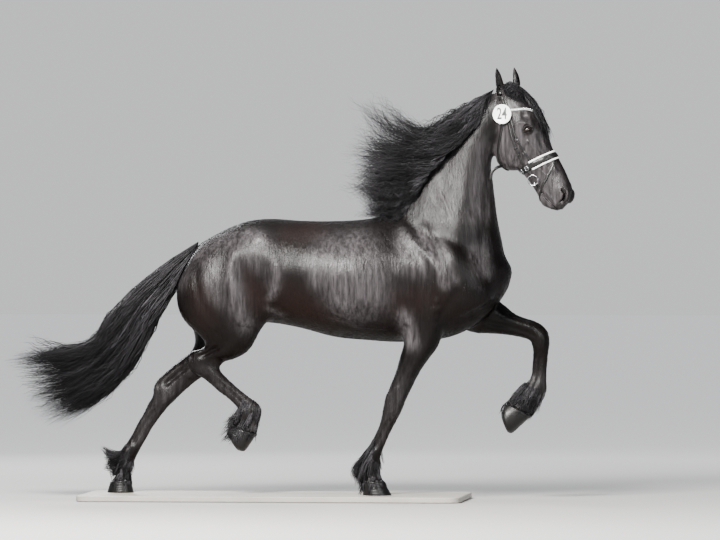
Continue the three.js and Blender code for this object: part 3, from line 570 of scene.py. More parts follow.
# The nearest form at each vertex: its name, thickness and place on an unwrap of the forms
form_names = list(forms)
rows = []
for k, (name, rings) in enumerate(forms.items()):
    count, sides = rings.shape[:2]
    middle = rings.mean(1)
    reach = np.linalg.norm(rings - middle[:, None], axis=2).min(1)
    flow = unit(np.gradient(middle, axis=0))
    if name in ("torso", "neck"):
        flow = unit(-flow + np.array([0, 0, -0.4]))
    u = np.tile(np.linspace(0, 1, sides // 2, endpoint=False), count)
    v = np.repeat(np.linspace(0, 1, count), sides // 2)
    corner = np.array([k % 3, k // 3]) / 3
    rows.append((rings[:, ::2].reshape(-1, 3), np.full(len(u), k), np.repeat(reach, sides // 2),
                 corner + 0.01 + np.stack([u, v], -1) * 0.31, np.repeat(flow, sides // 2, 0)))
surface, surface_form, surface_radius, surface_uv, surface_flow = [np.concatenate(a) for a in zip(*rows)]
surface_tree = KDTree(len(surface))
for k, place in enumerate(surface):
    surface_tree.insert(place, k)
surface_tree.balance()


def nearest_surface(points):
    """Index of the nearest loft point for each point."""
    find = surface_tree.find
    return np.fromiter((find(p)[1] for p in points), int, len(points))


def unwrapped(points):
    """Places on the unwrap of the forms, for the roots of hair."""
    return surface_uv[nearest_surface(points)]


HEAD_FORM = form_names.index("head")
points = points_of(skin.data)
nearest = nearest_surface(points)
links = Links(skin.data)
thick = ease(surface_radius[nearest], 45, 110)
in_head = (surface_form[nearest] == HEAD_FORM).astype(float)
soft = links.relaxed(thick * (1 - 0.85 * in_head), 1.0, 12)
points = links.relaxed(points, soft, 55)
points = links.relaxed(points, np.full(len(points), 0.6), 8, back=1.04)
set_points(skin.data, points)

# The head gets a finer mesh, the eyes, nostrils and mouth finer still
local = unturned(points)
refined(skin, (local[:, 0] > HEAD_BACK) & (local[:, 2] > HEAD_LOW) & (in_head > 0))


def near_any(points, *spots):
    """Whether each point is near a spot given as x, y, z, reach, or near its mirror image."""
    chosen = np.zeros(len(points), bool)
    for x, y, z, reach in spots:
        for side in (-1, 1):
            chosen |= np.linalg.norm(points - [x, side * y, z], axis=1) < reach
    return chosen


local = unturned(points_of(skin.data))
refined(skin, near_any(local, (*EYE, 62), (1588, 46, 1632, 58), (1470, 50, 1640, 62), (1540, 30, 1568, 50)))
local = unturned(points_of(skin.data))
refined(skin, near_any(local, (*EYE, 42)))

points = points_of(skin.data)
links = Links(skin.data)
local = unturned(points)
head_near = ((local[:, 0] > HEAD_BACK) & (local[:, 2] > HEAD_LOW)).astype(float) * 0.7
points = links.relaxed(points, head_near, 14, back=1.03)
set_points(skin.data, points)


def stroke(p, path, width, height):
    """Height of a soft ridge along a path in two dimensions, negative for a groove."""
    path = np.asarray(path, float)
    gap = 0.5 * width
    if len(path) > 1:
        rough = spline(path, 16 * (len(path) - 1) + 1)
        run = np.concatenate([[0], np.cumsum(np.linalg.norm(np.diff(rough, axis=0), axis=1))])
        at = np.linspace(0, run[-1], max(int(run[-1] / gap), 2))
        gap = at[1] - at[0]
        path = np.stack([np.interp(at, run, rough[:, 0]), np.interp(at, run, rough[:, 1])], -1)
        height = height * gap / (width * math.sqrt(math.pi))
    result = np.zeros(len(p))
    near = np.all((p > path.min(0) - 2.6 * width) & (p < path.max(0) + 2.6 * width), axis=1)
    q = p[near]
    total = np.zeros(len(q))
    for place in path:
        total += np.exp(-((q - place) ** 2).sum(1) / width**2)
    result[near] = height * total
    return result


def carved(plan, strokes):
    """Height of several strokes together."""
    return sum(stroke(plan, *one) for one in strokes)


# Strokes on the trunk, in the side view: path in x and z, width, height
BODY_STROKES = [
    ([(-80, 1418), (-48, 1428), (-22, 1400)], 36, 12),
    ([(-160, 1430), (-95, 1440), (-35, 1434)], 7, -1.8),
    ([(-90, 1340), (-100, 1205), (-125, 1080)], 55, -7),
    ([(-185, 1345), (-205, 1215), (-190, 1090), (-145, 960), (-95, 885)], 34, 12),
    ([(-275, 1275), (-270, 1155), (-220, 1010)], 50, -5),
    ([(-312, 1062), (-282, 1000)], 22, 4),
    ([(-345, 1380), (-400, 1245), (-375, 1100), (-305, 955)], 26, -5.5),
    ([(-432, 1300), (-474, 1155), (-420, 990)], 38, 4),
    ([(55, 1378), (95, 1308)], 80, -10),
    ([(45, 1275), (28, 1155), (12, 1060)], 20, 7),
    ([(-22, 1275), (-38, 1155), (-50, 1055)], 44, -6),
    ([(-48, 1075), (-8, 1012), (50, 985)], 12, 4),
    ([(-30, 1040), (20, 975)], 9, -3),
    ([(112, 1150), (135, 1015)], 75, -8),
    ([(685, 1495), (770, 1395), (870, 1275), (930, 1170)], 30, 10),
    ([(815, 1470), (905, 1340), (990, 1200)], 30, -8),
    ([(860, 1440), (925, 1310), (965, 1190)], 11, 3.5),
    ([(665, 1405), (695, 1275)], 56, -8),
    ([(650, 1320), (720, 1290), (800, 1245)], 42, 6),
    ([(700, 1170), (790, 1120)], 60, -6),
    ([(645, 1135), (690, 1050), (735, 975)], 24, -7),
    ([(725, 1010), (732, 945)], 24, 11),
    ([(1075, 1935), (1030, 1665), (990, 1395), (955, 1155)], 50, 7),
    ([(1170, 1765), (1155, 1560), (1130, 1370), (1150, 1180)], 26, -9),
    ([(685, 865), (660, 1005), (630, 1100)], 22, -4),
    ([(-325, 1340), (-230, 1395), (-135, 1420)], 34, 4),
    ([(1000, 1125), (955, 1045), (890, 955)], 26, -7),
    ([(380, 1500), (525, 1520), (650, 1545)], 26, 4),
    ([(970, 1990), (935, 1800), (900, 1610)], 36, -5),
    ([(295, 985), (460, 935), (630, 920)], 6, 3),
    ([(330, 1010), (430, 965), (470, 930)], 5, 2.4),
    ([(890, 1675), (930, 1595), (955, 1525)], 10, -1.8),
    ([(915, 1660), (952, 1585), (975, 1520)], 8, 1.6),
    ([(845, 1640), (890, 1560), (915, 1505)], 12, -1.4),
]
for k in range(10):
    top = 150 + 50 * k
    BODY_STROKES.append(([(top + 30, 1370 - 4 * k), (top + 10, 1250), (top - 25, 1080 - 5 * k)], 17, 0.4))

points = points_of(skin.data)
normals = normals_of(skin.data)
part_at = np.array(form_names)[surface_form[nearest_surface(points)]]
trunk = np.isin(part_at, ["torso", "neck", "shoulder_left", "shoulder_right"]) | (
    np.isin(part_at, list(LEGS)) & (points[:, 2] > 940))
trunk = links.relaxed(trunk.astype(float), 1.0, 8)
sideways = ease(np.abs(normals[:, 1]), 0.15, 0.75) * trunk
rise = carved(points[:, [0, 2]], BODY_STROKES) * sideways
centre_line = np.exp(-((points[:, 1] / 26) ** 2))
croup = ease(points[:, 0], -430, -330) * (1 - ease(points[:, 0], -60, 60)) * ease(normals[:, 2], 0.3, 0.8)
rise -= 10 * centre_line * croup
chest = ease(normals[:, 0], 0.3, 0.8) * ease(points[:, 0], 1120, 1220) * (1 - ease(points[:, 2], 1330, 1450))
rise -= 14 * np.exp(-((points[:, 1] / 22) ** 2)) * chest * trunk
points += normals * rise[:, None]
set_points(skin.data, points)

# Strokes on the legs: station number and place from back -1 to front +1
FORE_STROKES = [
    ([(1.0, 0.35), (3.0, 0.45), (5.0, 0.3)], 26, 6), ([(1.5, -0.3), (3.5, -0.2), (6.0, -0.25)], 12, -6),
    ([(2.0, -0.75), (4.0, -0.65), (5.5, -0.6)], 20, 4), ([(6.6, -0.9), (7.4, -0.85)], 15, 7),
    ([(6.8, 0.55), (8.6, 0.6)], 20, 4), ([(9.2, 0.0), (11.0, -0.05), (12.4, -0.1)], 9, -6),
    ([(9.4, -0.62), (12.0, -0.62)], 9, 3), ([(12.8, -0.55), (13.8, -0.5)], 16, 5),
]
HIND_STROKES = [
    ([(5.0, 0.45), (6.5, 0.4), (8.0, 0.2)], 26, 6), ([(5.5, -0.15), (7.0, -0.25), (9.0, -0.3)], 14, -8),
    ([(7.4, -0.35), (9.2, -0.38)], 15, -10), ([(9.6, -0.9), (10.4, -0.85)], 14, 8),
    ([(10.2, 0.4), (11.4, 0.45)], 18, 4), ([(12.4, 0.0), (14.4, -0.05), (15.6, -0.1)], 9, -6),
    ([(12.6, -0.62), (15.0, -0.62)], 9, 3), ([(16.0, -0.55), (17.0, -0.5)], 16, 5),
]
normals = normals_of(skin.data)
rise = np.zeros(len(points))
for leg_name, stations in LEGS.items():
    s = np.array(stations, float)
    own = links.relaxed((part_at == leg_name).astype(float), 1.0, 3)
    strokes = FORE_STROKES if leg_name.startswith("fore") else HIND_STROKES
    for marks, width, height in strokes:
        marks = np.array(marks)
        marks[:, 0] = np.minimum(marks[:, 0], len(s) - 1.5)
        edges = spline(s[:, :4], marks[:, 0])
        share = (marks[:, 1:] + 1) / 2
        path = edges[:, :2] * share + edges[:, 2:] * (1 - share)
        rise += stroke(points[:, [0, 2]], path, width, height) * own
rise *= ease(np.abs(normals[:, 1]), 0.05, 0.6)
points += normals * rise[:, None]
set_points(skin.data, points)

# Strokes on the head, in head-local x and z
HEAD_STROKES = [
    ([(1396, 1925), (1432, 1885), (1468, 1838)], 9, 5), ([(1300, 1905), (1262, 1850), (1300, 1810)], 45, 7),
    ([(1392, 1905), (1352, 1840), (1322, 1796)], 11, -5), ([(1376, 2060)], 17, -8),
    ([(1330, 2005), (1362, 2024), (1402, 2016)], 11, 4), ([(1452, 1955), (1492, 1865), (1520, 1790)], 15, -5),
    ([(1420, 1760), (1470, 1700), (1500, 1650)], 22, 3), ([(1300, 2120), (1340, 2060)], 20, -4),
    ([(1470, 1930), (1505, 1850), (1545, 1760)], 8, 3), ([(1395, 1850), (1440, 1790), (1490, 1740)], 5, 2),
    ([(1352, 1870), (1390, 1835), (1425, 1800)], 4, 2), ([(1490, 1800), (1500, 1740), (1480, 1700)], 4, 1.6),
    ([(1232, 1990), (1240, 1930), (1225, 1860)], 18, 4), ([(1286, 2000), (1262, 1920)], 22, -4),
]
local = unturned(points)
normals = normals_of(skin.data)
local_normals = unturned(normals, 0.0)
head_mask = links.relaxed((part_at == "head").astype(float), 1.0, 3)
plan = local[:, [0, 2]]
rise = carved(plan, HEAD_STROKES) * ease(np.abs(local_normals[:, 1]), 0.1, 0.6)

# The line of the mouth, then the lips and chin and the nostrils with their rims
COMMA = [(1583, 1664), (1598, 1650), (1598, 1628), (1586, 1606), (1572, 1600)]
MUZZLE_STROKES = [
    ([(1470, 1668), (1512, 1622), (1556, 1580)], 12, 4), ([(1452, 1620), (1480, 1592), (1515, 1566)], 12, 4),
    ([(1432, 1700), (1425, 1680)], 8, -4), (COMMA, 15, 7), (COMMA, 7.5, -30),
]
rise += stroke(plan, [(1441, 1690), (1458, 1652), (1486, 1618), (1520, 1587), (1560, 1545)], 3.2, -9)
rise += carved(plan, MUZZLE_STROKES) * ease(np.abs(local_normals[:, 1]), 0.0, 0.35)
points += normals * (rise * head_mask)[:, None]

# Each eye: the skin wraps the ball as lids and dives in behind them inside the almond
for side in (-1, 1):
    local = unturned(points)
    centre = np.array([EYE[0], side * EYE[1], EYE[2]])
    out = np.array([0.30, side * 0.94, 0.12])
    out /= np.linalg.norm(out)
    long_axis = np.cross(out, [0, 0, 1.0])
    long_axis *= -side / np.linalg.norm(long_axis)
    up = np.cross(long_axis, out)
    up *= np.sign(up[2])
    tilt = math.radians(-24)
    a_axis = long_axis * math.cos(tilt) + up * math.sin(tilt)
    b_axis = up * math.cos(tilt) - long_axis * math.sin(tilt)
    offset = local - centre
    a, b, n = offset @ a_axis, offset @ b_axis, offset @ out
    reach = np.linalg.norm(offset, axis=1)
    close = (np.hypot(a, b) < 46) & (n > -12) & (reach < 60)
    flat = np.hypot(a, b)
    upper = 13.5 * np.clip(1 - np.abs(a / 21.5) ** 2.2, 0, None)
    lower = -10.0 * np.clip(1 - np.abs(a / 21.5) ** 1.8, 0, None)
    inside = np.minimum(upper - b, b - lower)
    opening = ease(inside, -0.6, 1.2)
    lid_surface = np.sqrt(np.clip((EYE_RADIUS + 4.5) ** 2 - flat**2, 16, None))
    fold_up = 3.2 * np.exp(-(((b - upper - 9) / 3.5) ** 2)) * (np.abs(a) < 30)
    fold_low = 2.0 * np.exp(-(((b - lower + 8) / 3.5) ** 2)) * (np.abs(a) < 26)
    blend = 1 - ease(flat, 20, 34)
    rim = 2.0 * np.exp(-(((inside + 2.2) / 2.4) ** 2)) * (flat < 30)
    lids = np.maximum(lid_surface, n * 0.25 + 10)
    target = n * (1 - blend) + blend * lids + rim - (fold_up + fold_low) * (flat < 40)
    target = target * (1 - opening) + opening * (np.sqrt(np.clip(EYE_RADIUS**2 - flat**2, 4, None)) - 7)
    moved = local + out * (target - n)[:, None]
    local = np.where(close[:, None], moved, local)
    points = turned(local)

fine = near_any(unturned(points), (*EYE, 60))
points = links.relaxed(points, fine * 0.4, 2, back=1.02)
set_points(skin.data, points)

# The skin lies inside the solids by the depth of the coat
points -= normals_of(skin.data) * COAT_DEPTH * (1 - 0.6 * head_mask)[:, None]
points[:, 2] = np.maximum(points[:, 2], BASE_TOP + 4)
set_points(skin.data, points)

# Brown tint painted where the light is low, as painted shade colour: belly, flank, insides of the legs,
# behind the elbow
normals = normals_of(skin.data)
warm_tint_and_shade = 0.12 + 0.35 * ease(-normals[:, 2], 0.0, 0.8) + carved(points[:, [0, 2]], [
    ([(120, 1150), (160, 1000), (300, 930)], 120, 0.55), ([(700, 1080), (860, 1090)], 110, 0.5),
    ([(-380, 1150), (-330, 980)], 90, 0.5), ([(-60, 1150), (-70, 1000)], 70, 0.35),
    ([(60, 1430), (180, 1440), (300, 1440)], 80, 0.6), ([(-120, 1250), (-110, 1050)], 60, 0.4),
])
warm_tint_and_shade = links.relaxed(np.clip(warm_tint_and_shade, 0, 1), 1.0, 10)

# Painted highlights: along these strokes over rounded muscle the coat's colour is greyed and its roughness a
# little lowered
PAINTED_SHEEN = [
    ([(330, 1330), (400, 1190), (440, 1070)], 100, 0.85), ([(450, 1380), (520, 1230), (560, 1080)], 90, 0.75),
    ([(250, 1300), (290, 1180)], 60, 0.7), ([(560, 1020), (440, 975)], 45, 0.4),
    ([(-130, 1425), (-80, 1412), (-30, 1392)], 34, 0.95), ([(-60, 1360), (20, 1330)], 50, 0.45),
    ([(-430, 1330), (-330, 1390), (-200, 1420)], 60, 0.6),
    ([(-205, 1290), (-182, 1090), (-122, 925)], 20, 1.0),
    ([(-480, 1270), (-500, 1170)], 50, 0.5), ([(-330, 1280), (-300, 1180), (-260, 1080)], 55, 0.45),
    ([(50, 1265), (32, 1140), (-2, 1080)], 14, 1.0), ([(-20, 1040), (30, 1010), (70, 990)], 12, 0.6),
    ([(-205, 1290), (-176, 1368), (-118, 1412)], 28, 0.7), ([(-110, 1330), (-60, 1290), (0, 1250)], 60, 0.36),
    ([(-205, 1290), (-182, 1090), (-122, 925)], 50, 0.4), ([(30, 1250), (16, 1150)], 40, 0.3),
    ([(700, 1390), (770, 1310), (800, 1230)], 46, 0.8), ([(800, 1440), (880, 1300), (945, 1150)], 20, 1.0),
    ([(880, 1450), (950, 1300), (1000, 1170)], 14, 0.7), ([(640, 1300), (700, 1240)], 40, 0.5),
    ([(990, 1850), (940, 1650), (900, 1500)], 100, 0.24),
    ([(1130, 1900), (1120, 1700), (1100, 1500)], 60, 0.4),
    ([(715, 1010), (735, 930), (770, 830)], 34, 0.85), ([(1100, 1350), (1130, 1220)], 40, 0.5),
    ([(900, 1700), (955, 1560), (975, 1480)], 12, 0.7), ([(860, 1640), (905, 1530)], 12, 0.5),
]
painted_sheen = np.zeros(len(points))
for path, width, strength in PAINTED_SHEEN:
    painted_sheen = np.maximum(painted_sheen, np.minimum(stroke(points[:, [0, 2]], path, width, strength * 1.7), strength))
painted_sheen *= ease(np.abs(normals[:, 1]), 0.1, 0.5)
low_legs = 1 - ease(points[:, 2], 560, 800)
face_on = unturned(normals, 0.0)[:, 0]
# Painted highlight on the lower legs and on the sides of the head, with painted shade down the front of the
# face
leg_painted_sheen = 0.26 * low_legs * ease(points[:, 2], 230, 330)
head_painted_sheen = 0.74 * head_mask * (1 - 0.8 * ease(face_on, 0.35, 0.8))
painted_sheen = np.maximum(painted_sheen, leg_painted_sheen + head_painted_sheen)
# Less painted highlight on the upward faces of the head
painted_sheen *= 1 - 0.6 * head_mask * ease(normals[:, 2], 0.45, 0.9)
# Painted shade round each eye and in the hollow above it, where the painted highlight is taken away
for side in (-1, 1):
    from_eye = np.linalg.norm(unturned(points) - [EYE[0] - 4, side * EYE[1], EYE[2] - 1], axis=1)
    from_hollow = np.linalg.norm(unturned(points) - [1378, side * 88, 2042], axis=1)
    painted_sheen *= (1 - 0.95 * np.exp(-((from_eye / 27) ** 4))) * (1 - 0.6 * np.exp(-((from_hollow / 22) ** 2)))
painted_sheen = links.relaxed(np.clip(painted_sheen, 0, 1), 1.0, 10)
# The top line is duller than the sides
matt = links.relaxed(ease(normals[:, 2], 0.5, 0.85) * ease(points[:, 2], 1000, 1300), 1.0, 8)
coat_values = {"warm_tint_and_shade": warm_tint_and_shade, "painted_sheen": painted_sheen, "matt": matt}
give_values(skin.data, coat_values)
declared(skin, COAT, "coat", "torso", "neck", "head", *LEGS)
coat_points, coat_normals = points.copy(), normals_of(skin.data)
coat_flow = unit(links.relaxed(surface_flow[nearest_surface(points)], 1.0, 25))
four = [p for p in skin.data.polygons if len(p.vertices) == 4]
coat_faces = np.array([p.vertices[:] for p in four])
coat_areas = np.array([p.area for p in four])

# Ears: a leaf open to the front, its foot sunk into the head and its rim turned
def ear_rings(side):
    """Loft rings of one ear's sheet, outer face then inner face, as a closed section."""
    rows, half = 26, 13
    v = np.linspace(0, 1, rows)
    if side > 0:
        foot, mid, tip = [1280.0, 56, 2178], [1284.0, 62, 2248], [1272.0, 60, 2320]
        facing, narrow = math.radians(-22), 1.0
    else:
        foot, mid, tip = [1236.0, -50, 2168], [1228.0, -58, 2244], [1213.0, -58, 2316]
        facing, narrow = math.radians(-62), 0.86
    axis = spline(np.array([foot, mid, tip]), rows)
    spread = np.interp(v, [0, 0.18, 0.45, 0.75, 0.93, 1], [28, 24, 25, 18, 8, 0.8]) * narrow
    depth = np.interp(v, [0, 0.18, 0.45, 0.75, 0.93, 1], [26, 20, 17, 12, 5, 0.6]) * narrow
    gape = np.radians(np.interp(v, [0, 0.2, 0.5, 0.85, 1], [20, 32, 46, 38, 20]))
    thick = np.interp(v, [0, 0.3, 1], [9, 3.6, 0.9])
    ahead = np.array([math.cos(facing), math.sin(facing), 0])
    beside = np.array([-math.sin(facing), math.cos(facing), 0])
    rings = []
    for k in range(rows):
        turn = np.linspace(gape[k], 2 * math.pi - gape[k], half * 2 - 1)
        forth, aside = np.cos(turn)[:, None] * ahead, np.sin(turn)[:, None] * beside
        outer = axis[k] + forth * depth[k] + aside * spread[k]
        inward = -(forth + aside) * thick[k]
        middle = np.sin(np.linspace(0, math.pi, len(turn)))[:, None] ** 0.4
        inner = outer + inward * (0.25 + 0.75 * middle)
        rings.append(np.concatenate([outer, inner[::-1]]))
    return turned(np.array(rings))


ears = []
for side, side_name, strength in ((-1, "right", 0.2), (1, "left", 1.0)):
    ear = with_modifier(loft_object("ear_sheet_" + side_name, ear_rings(side)), "SUBSURF", levels=1)
    # Painted highlight on the front face of each ear, strong on the far ear and faint on the near one
    ear_painted_sheen = strength * ease(normals_of(ear.data)[:, 0], -0.1, 0.5)
    give_values(ear.data, {"warm_tint_and_shade": 0 * ear_painted_sheen, "painted_sheen": ear_painted_sheen, "matt": 0 * ear_painted_sheen})
    ear.data.materials.append(COAT.material)
    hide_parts("ear_" + side_name)
    ears.append(ear)
skin = joined([skin, *ears], "skin")

# The skin as a tree, for setting things on it
skin_tree = BVHTree.FromObject(skin, bpy.context.evaluated_depsgraph_get())
with_modifier(skin, "DECIMATE", ratio=SKIN_SHARE)


def on_skin(point, lift=0.0):
    """The nearest place on the skin and its outward direction, in millimetres."""
    place, normal, _, _ = skin_tree.find_nearest(Vector(point) * MM)
    return np.array(place) / MM + np.array(normal) * lift, np.array(normal)


def pushed_out(points, lift, tree=None, reach=70.0):
    """Points moved out of the skin, or of another tree, where they are inside it or nearer than lift."""
    flat = points.reshape(-1, 3).copy()
    find = (tree or skin_tree).find_nearest
    lifts = np.broadcast_to(np.asarray(lift, float), points.shape[:-1]).reshape(-1)
    for k, p in enumerate(flat):
        place, normal, _, _ = find(Vector(p) * MM, reach * MM)
        if place is None:
            continue
        height = (Vector(p) * MM - place).dot(normal) / MM
        if height < lifts[k]:
            flat[k] = np.array(place) / MM + np.array(normal) * lifts[k]
    return flat.reshape(points.shape)


# Long hair: closed tapered strands in three-cornered section, rooted and clumped along guides
def resampled(controls, count, length):
    """Each row of control points as a smooth curve, cut to its own share of length."""
    n, k, _ = controls.shape
    dense = 8 * (k - 1) + 1
    curve = np.swapaxes(spline(np.swapaxes(controls, 0, 1), dense), 0, 1)
    t = np.clip(np.linspace(0, 1, count)[None] * length[:, None] * (dense - 1), 0, dense - 1.001)
    i = t.astype(int)
    f = (t - i)[..., None]
    row = np.arange(n)[:, None]
    return curve[row, i] * (1 - f) + curve[row, i + 1] * f


def strand_mesh(name, curves, width, thickness, facing, shade, roots):
    """One mesh of closed strands; width and thickness are at the widest place of each strand."""
    n, spans, _ = curves.shape
    along = unit(np.gradient(curves, axis=1))
    across = unit(np.cross(facing, along))
    out = np.cross(along, across)
    u = np.linspace(0, 1, spans)
    full = np.where(u < 0.25, 0.6 + 0.4 * u / 0.25, 1 - 0.94 * (np.clip(u - 0.25, 0, 1) / 0.75) ** 1.7)
    w = (width[:, None] * full)[..., None] / 2
    t = (thickness[:, None] * full)[..., None]
    corners = np.stack([curves - across * w, curves + across * w, curves + out * t], 2)
    points = corners.reshape(-1, 3)
    start = (np.arange(n) * spans * 3)[:, None, None]
    ring = (np.arange(spans - 1) * 3)[None, :, None]
    side = np.arange(3)[None, None]
    after = (side + 1) % 3
    base = start + ring
    quads = np.stack([base + side, base + after, base + 3 + after, base + 3 + side], -1).reshape(-1, 4)
    root = start[:, 0, 0]
    end = root + (spans - 1) * 3
    triangles = np.concatenate([
        np.stack([root + 2, root + 1, root], -1), np.stack([end, end + 1, end + 2], -1)])
    places = unwrapped(roots)[:, None, None] + np.stack(
        np.broadcast_arrays(np.arange(3)[None, :] * 0.0015, u[:, None] * 0.003), -1)[None]
    values = {"shade": np.repeat(np.broadcast_to(shade.reshape(n, -1), (n, spans)), 3)}
    obj = mesh_object(name, points, quads, triangles, uv=places.reshape(-1, 2), values=values)
    return declared(obj, HAIR, "hair")


def guided_strands(guides, spread, clumps, each, curl, seed, spans=13, length=(0.7, 1.0), close=0.7,
                   waves=(2.0, 3.6), stray=0.06, apron=None, drift=0.0):
    """Curves of strands in clumps between guides, with their clump's shade and the way they face."""
    r = np.random.default_rng(seed)
    g = np.array(guides, float)
    lines, knots = g.shape[:2]
    spread = np.array(spread, float)
    n = clumps * each
    across = (np.arange(clumps) + r.uniform(0, 1, clumps)) / clumps
    layer = r.uniform(-1, 1, clumps)

    def controls(a, layer):
        place = np.clip(a, 0, 1) * (lines - 1)
        i = np.minimum(place.astype(int), lines - 2)
        f = (place - i)[:, None, None]
        c = g[i] * (1 - f) + g[i + 1] * f
        round_edge = np.sqrt(np.clip(1 - 0.8 * (2 * np.clip(a, 0, 1) - 1) ** 6, 0, 1))
        c[:, :, 1] += (layer * round_edge)[:, None] * spread
        return c

    shares = np.repeat(across, each)
    layers = np.repeat(layer, each)
    wild = 1 + 2.5 * (r.uniform(0, 1, n) < stray)
    drape = np.repeat(r.uniform(0, 1, clumps), each)[:, None, None]
    own_shares = shares + r.normal(0, 0.9 / clumps, n) * wild * 3
    own = controls(own_shares, np.clip(layers + r.normal(0, 0.13, n) * wild, -1.1, 1.1))
    heart = controls(shares, layers)
    share = (np.linspace(0, 1, knots) ** 1.5 * close)[None, :, None]
    mixed = own * (1 - share) + heart * share
    if apron is not None:
        mixed = mixed + drape * np.array(apron, float)[None]
    reach = np.repeat(r.uniform(*length, clumps), each) * r.uniform(0.86, 1.0, n)
    curves = resampled(mixed, spans, np.clip(reach, 0.1, 1.0))
    u = np.linspace(0, 1, spans)[None]
    curves = curves + (drift * u**1.7)[..., None] * r.normal(0, 1, (n, 1, 3)) * [1, 0.8, 1]
    along = unit(np.gradient(curves, axis=1))
    lift = unit(np.cross(along, [0, 1.0, 0]))
    phase = np.repeat(r.uniform(0, 2 * math.pi, clumps), each) + r.normal(0, 0.5, n)
    cycles = np.repeat(r.uniform(*waves, clumps), each)
    size = np.repeat(r.uniform(0.5, 1.2, clumps), each) * r.uniform(0.7, 1.3, n) * wild**0.5
    angle = 2 * math.pi * cycles[:, None] * u + phase[:, None]
    grow = (0.08 + 0.92 * u**0.9) * size[:, None] * curl
    grow = grow * np.minimum(1, u * 6)
    curves = curves + lift * (grow * np.sin(angle))[..., None]
    curves[..., 1] += grow * 0.7 * np.cos(angle * 0.83 + phase[:, None])
    twist = r.uniform(0, 2 * math.pi, n)[:, None] * 0.25 + 1.2 * u * r.normal(0, 1, n)[:, None]
    toward = np.sign(layers + 1e-9)[:, None]
    facing = lift * np.sin(twist)[..., None]
    facing[..., 1] += np.cos(twist) * toward
    shade = np.clip(np.repeat(r.beta(1.4, 2.6, clumps), each) + r.normal(0, 0.12, n), 0, 1)
    return curves, facing, shade


def in_plane(y, lines):
    """Lines of x and z as lines of x, y, z."""
    return [[[x, y, z] for x, z in line] for line in lines]


TAIL_GUIDES = in_plane(0, [
    [[-416, 1384], [-621, 1250], [-810, 1088], [-918, 966], [-988, 856], [-1161, 804], [-1372, 783]],
    [[-421, 1366], [-605, 1207], [-767, 1045], [-875, 910], [-972, 802], [-1150, 737], [-1390, 727]],
    [[-432, 1344], [-583, 1169], [-729, 1007], [-832, 856], [-956, 737], [-1134, 651], [-1325, 619]],
    [[-443, 1321], [-567, 1140], [-697, 975], [-794, 802], [-929, 667], [-1107, 575], [-1291, 532]],
    [[-459, 1304], [-556, 1128], [-670, 953], [-761, 775], [-891, 613], [-1064, 521], [-1242, 446]],
    [[-470, 1290], [-548, 1118], [-640, 965], [-716, 820], [-812, 672], [-975, 522], [-1132, 405]],
])
TAIL_SPREAD = [26, 52, 78, 92, 100, 92, 60]
MANE_GUIDES = [
    [[1180, -20, 2200], [1053, -42, 2138], [918, -50, 2062], [810, -45, 1996], [702, -40, 2036],
     [628, -35, 2112], [560, -30, 2166]],
    [[1130, -28, 2158], [999, -60, 2068], [891, -66, 1988], [756, -60, 1947], [621, -55, 2001],
     [524, -50, 2087], [466, -45, 2128]],
    [[1055, -25, 2100], [945, -70, 2012], [830, -72, 1936], [700, -66, 1905], [580, -60, 1925],
     [520, -55, 1990], [498, -50, 2060]],
    [[985, -25, 2050], [885, -75, 1950], [772, -75, 1890], [660, -70, 1870], [560, -60, 1878],
     [480, -55, 1900], [400, -50, 1885]],
    [[925, -25, 1988], [832, -80, 1888], [718, -78, 1842], [610, -72, 1824], [520, -62, 1826],
     [460, -55, 1822], [408, -50, 1815]],
    [[868, -25, 1925], [775, -80, 1835], [675, -78, 1785], [600, -70, 1765], [540, -62, 1762],
     [490, -55, 1763], [440, -50, 1775]],
    [[815, -25, 1865], [735, -80, 1788], [655, -76, 1738], [580, -68, 1716], [500, -60, 1705],
     [430, -52, 1698], [358, -46, 1702]],
    [[765, -25, 1800], [700, -78, 1735], [638, -74, 1680], [575, -66, 1656], [515, -58, 1655],
     [470, -52, 1662], [425, -46, 1668]],
    [[715, -25, 1730], [668, -72, 1672], [622, -70, 1622], [580, -62, 1600], [545, -55, 1597],
     [518, -50, 1604], [496, -46, 1610]],
    [[665, -22, 1660], [634, -60, 1615], [606, -62, 1580], [576, -58, 1562], [550, -50, 1556],
     [528, -46, 1556], [506, -44, 1560]],
    [[610, -18, 1590], [590, -50, 1568], [566, -58, 1552], [530, -60, 1545], [490, -58, 1537],
     [450, -52, 1530], [405, -46, 1524]],
]
MANE_SPREAD = [12, 22, 40, 66, 80, 72, 48]
FRONT_LOCK_GUIDES = [
    [[1270, -16, 2240], [1328, -38, 2202], [1384, -46, 2134], [1426, -48, 2062], [1456, -44, 1990],
     [1482, -36, 1915]],
    [[1272, -8, 2242], [1340, -18, 2200], [1400, -22, 2132], [1442, -22, 2058], [1474, -20, 1982],
     [1498, -16, 1900]],
    [[1274, 0, 2244], [1345, 4, 2194], [1405, 6, 2126], [1450, 6, 2052], [1484, 6, 1975],
     [1508, 4, 1885]],
    [[1270, 14, 2242], [1338, 34, 2192], [1396, 44, 2126], [1434, 50, 2056], [1458, 54, 1985],
     [1476, 52, 1915]],
]
SIDE_LOCK_GUIDES = [
    [[1262, -20, 2238], [1266, -58, 2220], [1268, -84, 2190], [1268, -94, 2160], [1264, -98, 2128]],
    [[1268, -16, 2242], [1300, -54, 2220], [1314, -80, 2188], [1314, -92, 2158], [1306, -98, 2126]],
    [[1270, -10, 2244], [1326, -42, 2216], [1352, -70, 2182], [1360, -86, 2148], [1354, -94, 2120]],
]


